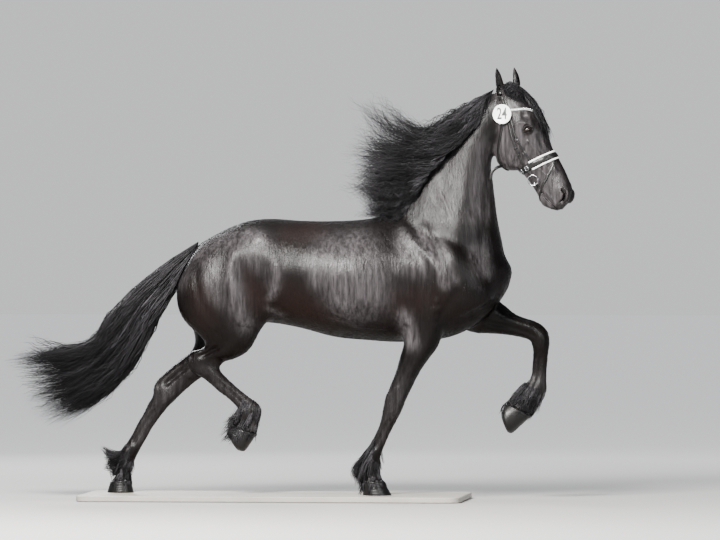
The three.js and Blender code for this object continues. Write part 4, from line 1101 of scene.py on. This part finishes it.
def hair_piece(name, node, strands, width, thickness, seed, lift=None, tree=None):
    """Strands as one piece, held off the skin by up to lift, and off the tree's body too."""
    curves, facing, shade = strands
    r = np.random.default_rng(seed)
    roots = curves[:, 0].copy()
    if lift:
        height = lift * (0.3 + r.uniform(0, 1, len(curves)))
        heights = height[:, None] + 0 * curves[:, 1:, 0]
        curves[:, 1:] = pushed_out(curves[:, 1:], heights)
        if tree:
            curves[:, 1:] = pushed_out(curves[:, 1:], heights, tree)
    scale = r.uniform(0.6, 1.25, len(curves))
    obj = strand_mesh(name, curves, width * scale, thickness * scale, facing, shade, roots)
    if node:
        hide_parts(node)
    return obj


def dimmed(strands, stops, factors):
    """Strands whose shade is multiplied along their length."""
    curves, facing, shade = strands
    u = np.linspace(0, 1, curves.shape[1])
    return curves, facing, shade[:, None] * np.interp(u, stops, factors)[None]


def lengthened(guides, share):
    """Guides whose last stretch goes on by a share of itself."""
    g = np.array(guides, float)
    g[:, -1] += (g[:, -1] - g[:, -2]) * share
    return g


def in_thirds(names, node, strands, width, thickness, seed, lift=None):
    """Strands as three pieces, the first of which stands for the node."""
    cut = np.linspace(0, len(strands[0]), 4).astype(int)
    for k, name in enumerate(names):
        part = [a[cut[k]:cut[k + 1]] for a in strands]
        hair_piece(name, None if k else node, part, width, thickness, seed + k, lift)


TAIL_WISPS = in_plane(0, [
    [[-960, 850], [-1080, 828], [-1200, 838], [-1300, 868], [-1385, 908]],
    [[-960, 820], [-1100, 790], [-1220, 780], [-1330, 788], [-1425, 815]],
    [[-940, 760], [-1100, 720], [-1240, 680], [-1350, 655], [-1435, 645]],
    [[-900, 680], [-1060, 600], [-1180, 540], [-1290, 485], [-1370, 450]],
])


def together(*groups):
    """Several lots of strands as one."""
    return [np.concatenate(arrays) for arrays in zip(*groups)]


tail = together(
    guided_strands(lengthened(TAIL_GUIDES, 0.42), TAIL_SPREAD, 165, 23, 12, seed=7, spans=17,
                   length=(0.93, 1.0), waves=(3.5, 6.5), stray=0.1, close=0.6, drift=11),
    guided_strands(TAIL_WISPS, [20, 40, 52, 52, 46], 22, 4, 12, seed=8, spans=17, length=(0.7, 1.0),
                   waves=(2.0, 4.5), close=0.2, drift=16))
tail = dimmed(tail, [0, 0.35, 0.6, 1], [1.5, 1.3, 0.7, 0.5])
in_thirds(("tail_hair", "tail_hair_middle", "tail_hair_lower"), "tail", tail, 4.8, 1.7, 71)
# The mane dips over the near side of the neck before the wind takes it
APRON = [[0, 0, 0], [86, -30, -70], [74, -30, -62], [34, -16, -30], [10, 0, -8], [0, 0, 0], [0, 0, 0]]
mane = guided_strands(lengthened(MANE_GUIDES, 0.58), MANE_SPREAD, 215, 19, 13, seed=5, spans=20,
                      length=(0.36, 1.0), waves=(4.5, 8.5), stray=0.16, close=0.35, apron=APRON, drift=28)
how_low = np.arange(len(mane[0])) / len(mane[0])
keep = np.random.default_rng(6).uniform(0, 1, len(how_low)) > 0.6 * ease(how_low, 0.72, 0.95)
mane = [a[keep] for a in mane]
wisps = guided_strands(lengthened(MANE_GUIDES, 0.85), MANE_SPREAD, 46, 4, 15, seed=9, spans=20,
                       length=(0.75, 1.0), waves=(5.0, 9.0), close=0.1, apron=APRON, drift=34)
mane = together(mane, wisps)
# Painted light along the mane: painted shade at the roots and in its dark core, painted highlight near the
# crest and at the ends
mane = dimmed(mane, [0, 0.12, 0.3, 0.42, 0.62, 0.8, 1], [0.4, 1.1, 1.2, 0.14, 0.16, 1.1, 1.5])
in_thirds(("mane_hair", "mane_hair_middle", "mane_hair_lower"), "mane", mane, 3.8, 1.5, 51, lift=9)
locks = [
    guided_strands(FRONT_LOCK_GUIDES, [5, 6, 7, 7, 7, 6], 44, 13, 6, seed=3, spans=14, length=(0.4, 1.0),
                   waves=(2.0, 4.0), drift=7),
    guided_strands(SIDE_LOCK_GUIDES, [5, 8, 9, 8, 6], 30, 15, 9, seed=4, spans=14, length=(0.35, 1.0),
                   waves=(1.5, 3.0), drift=14),
]
for k, (name, node) in enumerate((("forelock_hair", "forelock"), ("forelock_side_hair", None))):
    curves, facing, shade = locks[k]
    hair_piece(name, node, (turned(curves), facing, shade * 0.8), 4.2, 1.5, 31 + k, lift=10)

# Hooves: rings of growth down the wall, a bevelled bearing edge, a hollow sole with its frog
HOOVES = {
    "foreleg_right": [[600, 106, 480, 98, -118, 57, 0], [642, 30, 488, 30, -118, 70, 0]],
    "hindleg_left": [[-797, 96, -908, 88, 112, 57, 0], [-780, 30, -925, 30, 112, 68, 0]],
    "foreleg_left": [[1371, 451, 1236, 519, 136, 57, 0], [1310, 394, 1222, 506, 136, 66, 0],
                     [1268, 358, 1209, 484, 136, 67, 0], [1244, 360, 1208, 450, 136, 52, 0]],
    "hindleg_right": [[-84, 358, -216, 394, -124, 56, 0], [-120, 302, -234, 388, -124, 64, 0],
                      [-150, 265, -240, 370, -124, 65, 0], [-184, 267, -230, 338, -124, 50, 0]],
}
horn = Nodes("hoof_horn", IOR=1.36)
rays = horn.noise((26, 26, 2.0), 3)
horn.link(horn.ramp(rays, [(0.3, (0.0012, 0.0011, 0.0011)), (0.6, (0.003, 0.0026, 0.0024)),
                           (0.8, (0.007, 0.006, 0.0055))]), "Base Color")
horn.link(horn.span(horn.noise((8, 8, 40), 3), 0.3, 0.7, 0.28, 0.46), "Roughness")
growth = horn.noise((30, 30, 260), 3)
horn.link(horn.bump(growth, 0.3, 0.002, horn.bump(rays, 0.15, 0.002)), "Normal")


def hoof_rings(stations):
    """Rings of the wall and, past its lower edge, of the hollow sole."""
    s = np.array(stations, float)
    rows = 22 // (len(s) - 1)
    rings = loft(s, 56, rows, 2.0)
    v = np.linspace(0, 1, len(rings))
    middle = rings.mean(1, keepdims=True)
    coronet = 0.012 * np.exp(-(((v - 0.03) / 0.05) ** 2))
    swell = 1 + 0.004 * np.sin(v * 31) + coronet - 0.05 * ease(v, 0.955, 1.0)
    walls = middle + (rings - middle) * swell[:, None, None]
    up = unit(rings[0].mean(0) - rings[-1].mean(0))
    ground = np.cross(unit(rings[-1][0] - rings[-1].mean(0)), unit(rings[-1][14] - rings[-1].mean(0)))
    ground *= np.sign(ground @ up)
    sole = []
    for share, deep in ((0.9, 0.3), (0.86, 3.0), (0.7, 6.0), (0.4, 7.5), (0.12, 7.0)):
        sole.append(walls[-1].mean(0) + (walls[-1] - walls[-1].mean(0)) * share + ground * deep)
    return np.concatenate([walls, sole])


hoof_trees = {}
for leg_name, stations in HOOVES.items():
    node = leg_name.replace("leg", "hoof")
    rings = hoof_rings(stations)
    rings[..., 2] = np.maximum(rings[..., 2], BASE_TOP)
    hoof = loft_object(node + "_horn", rings)
    declared(hoof, horn, "hoof_horn", node)
    faces = [p.vertices[:] for p in hoof.data.polygons]
    hoof_trees[leg_name] = BVHTree.FromPolygons([v.co.copy() for v in hoof.data.vertices], faces)

# Feathers: guides in x and z of the tuft behind each fetlock, where it hangs sideways, its half width,
# its locks, and the shorter fringe over pastern and coronet as first station, way it falls and length
FEATHERS = {
    "foreleg_right": (
        [[[560, 345], [528, 296], [490, 248], [456, 205], [432, 165], [430, 124]],
         [[556, 310], [524, 262], [490, 218], [462, 175], [446, 132], [450, 90]],
         [[552, 275], [520, 226], [492, 182], [472, 140], [466, 98], [472, 60]],
         [[550, 238], [522, 192], [505, 152], [495, 116], [492, 80], [495, 48]]],
        -120, [34, 42, 48, 52, 50, 44], 30, (13, [-0.06, 0, -1], 112)),
    "hindleg_left": (
        [[[-778, 280], [-824, 254], [-872, 246], [-914, 268], [-955, 330]],
         [[-784, 258], [-830, 236], [-880, 228], [-922, 238], [-962, 266]],
         [[-790, 232], [-838, 212], [-887, 200], [-924, 200], [-962, 212]],
         [[-798, 206], [-845, 180], [-888, 164], [-922, 162], [-950, 160]],
         [[-811, 181], [-849, 154], [-871, 133], [-893, 122], [-909, 116]]],
        114, [22, 27, 20, 10, 4], 12, (17, [-0.12, 0, -0.99], 92)),
    "foreleg_left": (
        [[[1335, 630], [1304, 598], [1278, 564], [1256, 532], [1238, 498]],
         [[1350, 620], [1320, 582], [1298, 545], [1278, 508], [1260, 468]],
         [[1384, 602], [1358, 562], [1335, 520], [1314, 482], [1296, 440]],
         [[1412, 572], [1390, 536], [1370, 500], [1350, 464], [1332, 428]]],
        136, [36, 46, 54, 60, 62], 30, (12, [-0.5, 0, -0.87], 135)),
    "hindleg_right": (
        [[[-160, 492], [-182, 474], [-204, 456], [-234, 442], [-282, 428]],
         [[-168, 472], [-188, 448], [-206, 424], [-224, 400], [-242, 378]],
         [[-170, 452], [-190, 426], [-208, 400], [-224, 372], [-236, 344]],
         [[-170, 430], [-190, 402], [-208, 374], [-220, 346], [-226, 318]]],
        -124, [24, 36, 48, 56, 60], 30, (15, [-0.4, 0, -0.92], 165)),
}


def fringe_strands(stations, first, fall, length, seed, clumps=60, each=11, spans=8):
    """Strands all round a pastern that fall along it and over the hoof, densest behind."""
    r = np.random.default_rng(seed)
    s = np.array(stations, float)
    n = clumps * each
    fall, aside = unit(np.array(fall, float)), np.array([0, 1.0, 0])
    run = np.repeat(r.uniform(0, 1, clumps), each) + r.normal(0, 0.04, n)
    angle = np.repeat(r.uniform(-1, 1, clumps), each)
    angle = np.sign(angle) * np.abs(angle) ** 1.3 * math.pi + r.normal(0, 0.1, n)
    line = spline(s, np.clip(first + run * (len(s) - 1 - first), 0, len(s) - 1.01))
    middle = np.stack([(line[:, 0] + line[:, 2]) / 2, line[:, 4], (line[:, 1] + line[:, 3]) / 2], -1)
    half = (line[:, [2, 3]] - line[:, [0, 1]]) / 2
    behind = np.stack([half[:, 0], 0 * run, half[:, 1]], -1)
    beside = aside * line[:, 5:6]
    round_way = behind * np.cos(angle)[:, None] + beside * np.sin(angle)[:, None]
    out = unit(round_way - fall * (round_way @ fall)[:, None])
    root = middle + round_way * 0.93
    long = length * (1.05 - 0.4 * run) * np.repeat(r.uniform(0.7, 1.1, clumps), each)
    long *= r.uniform(0.85, 1.05, n)
    long *= 0.6 + 0.4 * ease(np.cos(angle), -0.5, 0.6)
    u = np.linspace(0, 1, spans)[None]
    puff = long[:, None] * (0.08 * u + 0.2 * u**2) * np.repeat(r.uniform(0.6, 1.3, clumps), each)[:, None]
    phase = np.repeat(r.uniform(0, 6.28, clumps), each)[:, None] + r.normal(0, 0.5, n)[:, None]
    curves = root[:, None] + fall * (long[:, None] * u)[..., None] + out[:, None] * puff[..., None]
    curves += np.cross(out, fall)[:, None] * (4.0 * u * np.sin(4.5 * u + phase))[..., None]
    shade = np.clip(np.repeat(r.beta(1.4, 2.8, clumps), each) + r.normal(0, 0.1, n), 0, 1)
    return curves, np.repeat(out[:, None], spans, 1), shade


for k, (leg_name, (lines, middle, spread, locks, fringe)) in enumerate(FEATHERS.items()):
    name = leg_name.replace("leg", "feather")
    guides = in_plane(middle, lines)
    strands = together(
        guided_strands(guides, spread, locks, 840 // locks, 7, seed=40 + k, spans=8, length=(0.6, 1.0),
                       waves=(0.8, 1.8), close=0.92, stray=0.12, drift=7),
        fringe_strands(LEGS[leg_name], *fringe, seed=44 + k))
    strands[0][..., 2] = np.maximum(strands[0][..., 2], BASE_TOP + 2)
    hair_piece(name + "_hair", name, strands, 4.0, 1.4, 60 + k, lift=3.0, tree=hoof_trees[leg_name])

# Short coat tufts: closed slips of four faces that lie along the coat
per_point = np.bincount(coat_faces.ravel(), weights=np.repeat(coat_areas / 4, 4), minlength=len(coat_points))
legs_low = np.isin(part_at, list(LEGS)) & (coat_points[:, 2] < 640)
small = np.maximum(head_mask, ease(-coat_points[:, 2], -330, -230))
chance = per_point * (1 + 1.2 * head_mask + 0.6 * legs_low + 0.8 * ease(-coat_normals[:, 2], 0.2, 0.8))
chance *= coat_points[:, 2] > 120
r = np.random.default_rng(91)
n = TUFT_COUNT
pick = r.choice(len(coat_points), n, p=chance / chance.sum())
up = coat_normals[pick]
way = unit(coat_flow[pick] + r.normal(0, 0.13, (n, 3)))
way = unit(way - up * (way * up).sum(1)[:, None])
across = np.cross(up, way)
root = coat_points[pick] + way * r.uniform(-4, 4, (n, 1)) + across * r.uniform(-4, 4, (n, 1))
long = (r.uniform(13, 22, n) * (1 - 0.5 * small[pick]))[:, None]
wide = (r.uniform(1.3, 2.2, n) * (1 - 0.4 * small[pick]))[:, None] / 2
tall = (r.uniform(0.5, 1.5, n) * (1 - 0.4 * small[pick]))[:, None]
waist = root + way * long * 0.4 + up * tall * 0.6
tip = root + way * long + up * tall
corners = np.stack([root - up * 1.2, waist - across * wide, waist + across * wide, tip], 1)
first = np.arange(n)[:, None, None] * 4
slips = (first + np.array([[0, 1, 2], [1, 3, 2], [0, 3, 1], [0, 2, 3]])[None]).reshape(-1, 3)
places = unwrapped(root)[:, None] + np.array([[0, 0], [0, 0.0015], [0.002, 0.0015], [0.001, 0.003]])[None]
values = {key: np.repeat(v[pick], 4) for key, v in coat_values.items()}
tufts = mesh_object("coat_tufts", corners.reshape(-1, 3), [], slips, places.reshape(-1, 2), values,
                    smooth=False)
declared(tufts, COAT, "coat")

# Eyes: a dark ball with a brown ring and an oval pupil lying level
eye_look = Nodes("eye", Roughness=0.1, IOR=1.38, Coat_Weight=0.4, Coat_Roughness=0.03)
spot = eye_look.add("ShaderNodeTexCoord").outputs["Object"]
apart = eye_look.add("ShaderNodeSeparateXYZ", {"Vector": spot})


def from_middle_of_eye(half_width, half_height):
    """Distance from the middle of the ball's front, 1 on an oval of these halves in metres."""
    squares = [eye_look.math("POWER", eye_look.math("MULTIPLY", apart.outputs[axis], 1 / half), 2.0)
               for axis, half in (("Y", half_width), ("Z", half_height))]
    return eye_look.math("SQRT", eye_look.math("ADD", *squares))


from_middle = from_middle_of_eye(0.0135, 0.0125)
pupil = from_middle_of_eye(0.0085, 0.005)
iris = eye_look.ramp(from_middle, [(0.2, (0.004, 0.002, 0.0012)), (0.75, (0.006, 0.003, 0.0018)),
                                   (0.92, (0.008, 0.005, 0.004)), (1.0, (0.02, 0.015, 0.012))])
in_iris = eye_look.span(pupil, 0.85, 1.05, 0, 1)
eye_look.link(eye_look.mix(in_iris, (0.0012, 0.001, 0.001), iris), "Base Color")
for side, side_name in ((-1, "right"), (1, "left")):
    rings = ball_rings([0, 0, 0], [EYE_RADIUS - 0.6] * 3, 0.0, 40, 56)
    bulge = 1 + 0.05 * np.exp(-((np.hypot(rings[..., 1], rings[..., 2]) / 11) ** 2)) * (rings[..., 0] > 0)
    eye = loft_object("eye_ball_" + side_name, rings * bulge[..., None])
    out = turned([0.30, side * 0.94, 0.06], pivot=0.0)
    eye.rotation_mode = "QUATERNION"
    eye.rotation_quaternion = Vector(out).to_track_quat("X", "Z")
    eye.location = Vector(turned([EYE[0], side * EYE[1], EYE[2]])) * MM
    declared(eye, eye_look, "eye", "eye_" + side_name)

# Base board: a pale painted panel, kept as the solid is
paint = speckled("base_paint", (3, 5, (0.35, (0.26, 0.245, 0.22)), (0.65, (0.32, 0.3, 0.27))),
                 (40, 0.42, 0.6), (420, 2, 0.12))
base_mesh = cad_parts["stand_base"].data
if base_mesh.materials:
    base_mesh.materials[0] = paint.material
else:
    base_mesh.materials.append(paint.material)

# Bridle: straps laid on the skin along paths in the side view of the head
leather = speckled(
    "bridle_leather", (60, 4, (0.3, (0.0012, 0.0011, 0.0011)), (0.75, (0.0034, 0.003, 0.0028))),
    (120, 0.32, 0.5), (650, 3, 0.25), IOR=1.36, Coat_Weight=0.12, Coat_Roughness=0.22)
piping = speckled("white_trim", (50, 4, (0.3, (0.68, 0.68, 0.67)), (0.7, (0.82, 0.82, 0.82))),
                  None, (500, 2, 0.12), Roughness=0.35, IOR=1.5, Coat_Weight=0.3, Coat_Roughness=0.2)
metal = speckled("bit_metal", (90, 4, (0.3, (0.3, 0.31, 0.33)), (0.7, (0.46, 0.47, 0.48))),
                 (60, 0.14, 0.3), Metallic=1.0)


def head_side(x, z, side, lift=0.0):
    """The place on the skin under a point of the head's side view, in the frame."""
    start = turned([x, side * 220.0, z])
    end = turned([x, 0.0, z])
    way = Vector(unit(end - start))
    place, normal, _, _ = skin_tree.ray_cast(Vector(start) * MM, way, 0.235)
    if place is None:
        return on_skin(turned([x, side * 40.0, z]), lift)
    return np.array(place) / MM + np.array(normal) * lift, np.array(normal)


def settled(points, lift, spacing=4.0, rounds=3, closed=False):
    """A path laid on the skin: evenly spaced points and smoothed outward directions."""
    rough = np.asarray(points, float)
    if closed:
        rough = np.concatenate([rough, rough[:1]])
    path = spline(rough, 12 * (len(rough) - 1) + 1)
    run = np.concatenate([[0], np.cumsum(np.linalg.norm(np.diff(path, axis=0), axis=1))])
    count = max(int(run[-1] / spacing), 4)
    at = np.linspace(0, run[-1], count + 1)
    path = np.stack([np.interp(at, run, path[:, k]) for k in range(3)], -1)
    if closed:
        path = path[:-1]
    normals = np.zeros_like(path)
    for _ in range(rounds):
        for k, p in enumerate(path):
            path[k], normals[k] = on_skin(p, lift)
        for _ in range(3):
            for values in (path, normals):
                before, after = np.roll(values, 1, 0), np.roll(values, -1, 0)
                if not closed:
                    before[0], after[-1] = values[0], values[-1]
                values[:] = (before + 2 * values + after) / 4
        normals = unit(normals)
    return path, normals


def swept(name, path, normals, section, closed=False):
    """A section of (across, up) points carried along a path."""
    if closed:
        along = unit(np.roll(path, -1, 0) - np.roll(path, 1, 0))
    else:
        along = unit(np.gradient(path, axis=0))
    across = unit(np.cross(along, normals))
    section = np.array(section, float)
    rings = path[:, None] + across[:, None] * section[None, :, :1] + normals[:, None] * section[None, :, 1:]
    count, sides = rings.shape[:2]
    if closed:
        quads, _ = ring_faces(count + 1, sides)
        return mesh_object(name, rings.reshape(-1, 3), quads % (count * sides))
    return loft_object(name, rings)


def strap_section(width, thickness, crown):
    """A strap's closed section: flat below, a little sunk in, and domed by crown above."""
    half = width / 2
    return [(-half, thickness * 0.62), (-half + 0.9, thickness), (-half * 0.4, thickness + crown * 0.85),
            (0, thickness + crown), (half * 0.4, thickness + crown * 0.85), (half - 0.9, thickness),
            (half, thickness * 0.62), (half, -2.0), (-half, -2.0)]


def tube_section(radius, offset=0.0, height=0.0, sides=12):
    """A round section."""
    angle = np.linspace(0, 2 * math.pi, sides, endpoint=False)
    return [(offset + radius * math.cos(a), height + radius * math.sin(a)) for a in -angle]


def side_path(points, side):
    """Side-view points laid on one side of the head."""
    return [head_side(x, z, side)[0] for x, z in points]


def across_head(points, *middle):
    """A path from the head's right side over its middle to the left.

    Points of x and z are laid on the skin, points of x, y and z stay where they are.
    """
    halves = [[turned([p[0], side * p[1], p[2]]) if len(p) == 3 else head_side(*p, side)[0] for p in points]
              for side in (-1, 1)]
    return [*halves[0], *turned(middle), *halves[1][::-1]]


def loop_on_head(centre, ahead, count):
    """Points where rays from inside the head leave its skin, in one plane that holds the Y direction."""
    middle = np.array([centre[0], 0, centre[1]], float)
    ahead = unit(np.array([ahead[0], 0, ahead[1]], float))
    result = []
    for angle in np.linspace(0, 2 * math.pi, count, endpoint=False):
        way = ahead * math.cos(angle) + np.array([0, 1.0, 0]) * math.sin(angle)
        start = turned(middle)
        end = turned(middle + way)
        place, _, _, _ = skin_tree.ray_cast(Vector(start) * MM, Vector(end - start), 0.3)
        if place is not None:
            result.append(np.array(place) / MM)
    return np.array(result)


def finished(pieces, name, look, slot, *nodes):
    """Parts joined to one piece, with its look, and with the parts of the nodes it stands for hidden; slot is
    not used.
    """
    return declared(joined(pieces, name), look, slot, *nodes)


def ring_tube(centre, axis, radius, tube, sides, round_sides):
    """A ring about an axis, as a closed sweep."""
    axis = unit(np.array(axis, float))
    u = unit(np.cross(axis, [0.12, 0.05, 1.0]))
    v = np.cross(axis, u)
    a = np.linspace(0, 2 * math.pi, sides, endpoint=False)[:, None]
    path = np.array(centre, float) + radius * (np.cos(a) * u + np.sin(a) * v)
    section = tube_section(tube, sides=round_sides)
    return swept("ring_part", path, np.repeat(axis[None], sides, 0), section, closed=True)


def buckle(place, normal, along, width, length, wire):
    """A rounded square frame with its tongue, flat on the strap."""
    across = unit(np.cross(along, normal))
    along = unit(np.cross(normal, across))
    corners = []
    for a in np.linspace(0, 2 * math.pi, 32, endpoint=False):
        c, s = math.cos(a), math.sin(a)
        aside = across * width / 2 * np.sign(c) * abs(c) ** 0.4
        ahead = along * length / 2 * np.sign(s) * abs(s) ** 0.4
        corners.append(place + aside + ahead + normal * 3.6)
    frame_part = swept("buckle_part", np.array(corners), np.repeat(normal[None], 32, 0),
                       tube_section(wire, sides=8), closed=True)
    tongue = np.array([place + along * (t - 0.5) * length + normal * 4.6 for t in np.linspace(0, 1, 6)])
    pin = swept("tongue_part", tongue, np.repeat(normal[None], 6, 0), tube_section(1.1, sides=8))
    return [frame_part, pin]


metal_parts, trim_parts, bit_parts = [], [], []
cheek_lines = {
    "bit": [(1240, 2160), (1262, 2120), (1284, 2044), (1306, 1962), (1333, 1884), (1360, 1806), (1392, 1752),
            (1414, 1740)],
    "nose": [(1252, 2164), (1276, 2124), (1302, 2044), (1328, 1962), (1360, 1892), (1390, 1845),
             (1404, 1818)],
}
THROAT = [(1250, 2110), (1256, 2050), (1250, 1990), (1237, 1930), (1227, 1870), (1227, 1820), (1241, 1786)]
FLASH = [(1520, 1778), (1492, 1722), (1464, 1668), (1446, 1630)]

cheeks, throats = [], []
for side in (-1, 1):
    for key, line in cheek_lines.items():
        path, normals = settled(side_path(line, side), 0.4)
        cheeks.append(swept("cheek_part", path, normals, strap_section(13, 3.2, crown=0.7)))
        for spot, wide in ((int(len(path) * 0.62), 17), (int(len(path) * 0.7), 16)):
            here = slice(spot - 1, spot + 2)
            section = strap_section(wide, 5.4, crown=0.5)
            cheeks.append(swept("keeper_part", path[here], normals[here], section))
        if key == "nose":
            spot = int(len(path) * 0.64)
            metal_parts += buckle(path[spot], normals[spot], unit(path[spot + 1] - path[spot]), 15, 12, 1.2)
    below = [turned([1245, side * 26, 1762]), turned([1252, 0, 1757])]
    path, normals = settled(side_path(THROAT, side) + below, 0.4)
    throats.append(swept("throat_part", path, normals, strap_section(15, 4.2, crown=0.8)))
    if side < 0:
        tab = spline([[1230, -50, 1792], [1202, -74, 1782], [1176, -80, 1756], [1170, -80, 1714]], 14)
        facing = np.repeat([[0.2, -0.98, 0]], 14, 0)
        throats.append(swept("tab_part", tab, facing, strap_section(16, 3.2, crown=0.8)))

# Crown over the poll behind the ears
crown = across_head([(1246, 2140), (1226, 58, 2196), (1212, 26, 2228)], (1208, 0, 2234))
path, normals = settled(crown, 0.4)
cheeks.append(swept("crown_part", path, normals, strap_section(30, 3.6, crown=0.8)))
finished(cheeks, "cheekpieces_leather", leather, "bridle_leather", "bridle_cheekpieces")
finished(throats, "throatlatch_leather", leather, "bridle_leather", "bridle_throatlatch")

# Noseband: a padded black band between two white rolls
nose_ahead = unit(np.array([150.0, 72.0]))
loop = loop_on_head((1470, 1822), nose_ahead, 56)
path, normals = settled(loop, 0.4, spacing=5.0, closed=True)
band = [swept("nose_part", path, normals, strap_section(36, 5.0, crown=3.2), closed=True)]
finished(band, "noseband_leather", leather, "bridle_leather", "bridle_noseband")
onward = unit(np.roll(path, -1, 0) - path)
flip = 1.0 if np.mean(np.cross(onward, normals)[:, 2]) > 0 else -1.0
middle_line = unturned(path)
forward = (middle_line[:, 0] - 1470) * 0.9 + (middle_line[:, 2] - 1822) * 0.43
shown = np.flatnonzero(forward > -70)
gap = int(np.argmax(np.diff(np.append(shown, shown[0] + len(path)))))
order = np.roll(shown, -gap - 1)
for offset, radius in ((20.5 * flip, 5.2), (-20.5 * flip, 4.7)):
    trim_parts.append(swept("roll_part", path[order], normals[order], tube_section(radius, offset, 3.4)))
for side in (-1, 1):
    for x, z, wide in ((1376, 1800, 22), (1350, 1772, 20)):
        spot = int(np.argmin(np.linalg.norm(path - head_side(x, z, side)[0], axis=1)))
        metal_parts += buckle(path[spot] + normals[spot] * 4, normals[spot], onward[spot], wide, 19, 2.3)

# Flash strap, from the noseband's front round the chin
flash = [turned([1566, 0, 1856]), *across_head([(1556, 1846), *FLASH, (1440, 24, 1610)], (1438, 0, 1604))]
path, normals = settled(flash, 0.4, closed=True)
finished([swept("flash_part", path, normals, strap_section(12, 3.0, crown=0.6), closed=True)],
         "flash_leather", leather, "bridle_leather", "bridle_flash")

# Browband: a row of pale beads on a curved band
brow = across_head([(1264, 2088), (1320, 2091), (1384, 2095), (1432, 52, 2098)], (1446, 0, 2100))
path, normals = settled(brow, 0.6, spacing=2.0)
trim_parts.append(swept("brow_part", path, normals, strap_section(10.5, 3.6, crown=1.8)))
for k in range(3, len(path) - 3, 3):
    for row in (-2.5, 2.5):
        across = unit(np.cross(path[k + 1] - path[k - 1], normals[k]))
        rings = ball_rings(path[k] + normals[k] * 4.9 + across * row, [2.3, 2.3, 2.3], 0, 6, 10)
        metal_parts.append(loft_object("bead_part", rings))
finished(trim_parts, "white_rolls_and_browband", piping, "browband_trim", "bridle_browband")

# Bit: loose rings and the ends of the mouthpiece
for side in (-1, 1):
    centre = turned([1424, side * 77, 1715])
    axis = turned([0.1, side * 1.0, 0.0], pivot=0.0)
    bit_parts.append(ring_tube(centre, axis, 28, 2.1, 56, 14))
    bar = np.array([turned([1432, side * y, 1694 + 0.05 * y]) for y in np.linspace(30, 79, 10)])
    up = np.repeat(np.array([[0, 0, 1.0]]), 10, 0)
    bit_parts.append(swept("bar_part", bar, up, tube_section(6.5, sides=14)))
finished([*bit_parts, *metal_parts], "bit_and_buckles", metal, "bit_metal",
         "bridle_bit_ring_right", "bridle_bit_ring_left")

# Number disc: a bevelled plate with plain digits
plate = speckled("disc_plastic", (40, 3, (0.3, (0.88, 0.88, 0.87)), (0.7, (0.93, 0.93, 0.93))),
                 None, (300, 2, 0.06), Roughness=0.35, IOR=1.46, Coat_Weight=0.2, Coat_Roughness=0.2)
ink = speckled("disc_print", (200, 3, (0.3, (0.012, 0.012, 0.014)), (0.7, (0.03, 0.03, 0.033))),
               Roughness=0.5)
DISC = np.array([1262.0, -112.0, 2068.0])
rows = [(52 - 1.2, -2.0), (52, -1.2), (52, 1.2), (50.8, 2.0), (47.5, 2.0), (47.0, 1.5), (20, 1.5)]
angle = np.linspace(0, 2 * math.pi, 96, endpoint=False)
rings = np.array([[DISC + np.array([r * math.cos(a), -y, r * math.sin(a)]) for a in angle] for r, y in rows])
disc = loft_object("disc_plate", turned(rings))
declared(disc, plate, "disc_plastic", "number_disc")
text = bpy.data.curves.new("digits", "FONT")
text.body = "24"
text.size = 0.088
text.extrude = 0.0005
text.offset = 0.0011
text.align_x = "CENTER"
text.align_y = "CENTER"
letters = bpy.data.objects.new("digits", text)
bpy.context.scene.collection.objects.link(letters)
bpy.context.view_layer.update()
digit_mesh = bpy.data.meshes.new_from_object(letters.evaluated_get(bpy.context.evaluated_depsgraph_get()))
bpy.data.objects.remove(letters)
raw = points_of(digit_mesh)
placed = turned(DISC + np.stack([raw[:, 0] * 0.66, -1.9 - raw[:, 2], raw[:, 1]], -1))
set_points(digit_mesh, placed)
digits = bpy.data.objects.new("disc_digits", digit_mesh)
bpy.context.scene.collection.objects.link(digits)
declared(digits, ink, "disc_plastic")

# Floor: a little luminous with distance, a painted glow that makes it paler there, so that it meets the
# horizon softly
corners = FLOOR_REACH * np.array([[-1, -1, 0], [1, -1, 0], [1, 1, 0], [-1, 1, 0]])
floor = mesh_object("floor", corners, [[0, 1, 2, 3]])
floor_look = Nodes("floor_with_painted_glow", Roughness=0.75)
floor_look.shader.inputs["Base Color"].default_value = (0.3, 0.295, 0.285, 1)
floor_look.shader.inputs["Emission Color"].default_value = (0.97, 0.985, 1.0, 1)
from_middle = floor_look.add("ShaderNodeVectorMath", {
    0: floor_look.add("ShaderNodeTexCoord").outputs["Object"]}, operation="LENGTH").outputs["Value"]
floor_look.link(floor_look.span(from_middle, 0.9, 6.5, 0.0, 0.727), "Emission Strength")
floor.data.materials.append(floor_look.material)
floor.location.z = -0.001
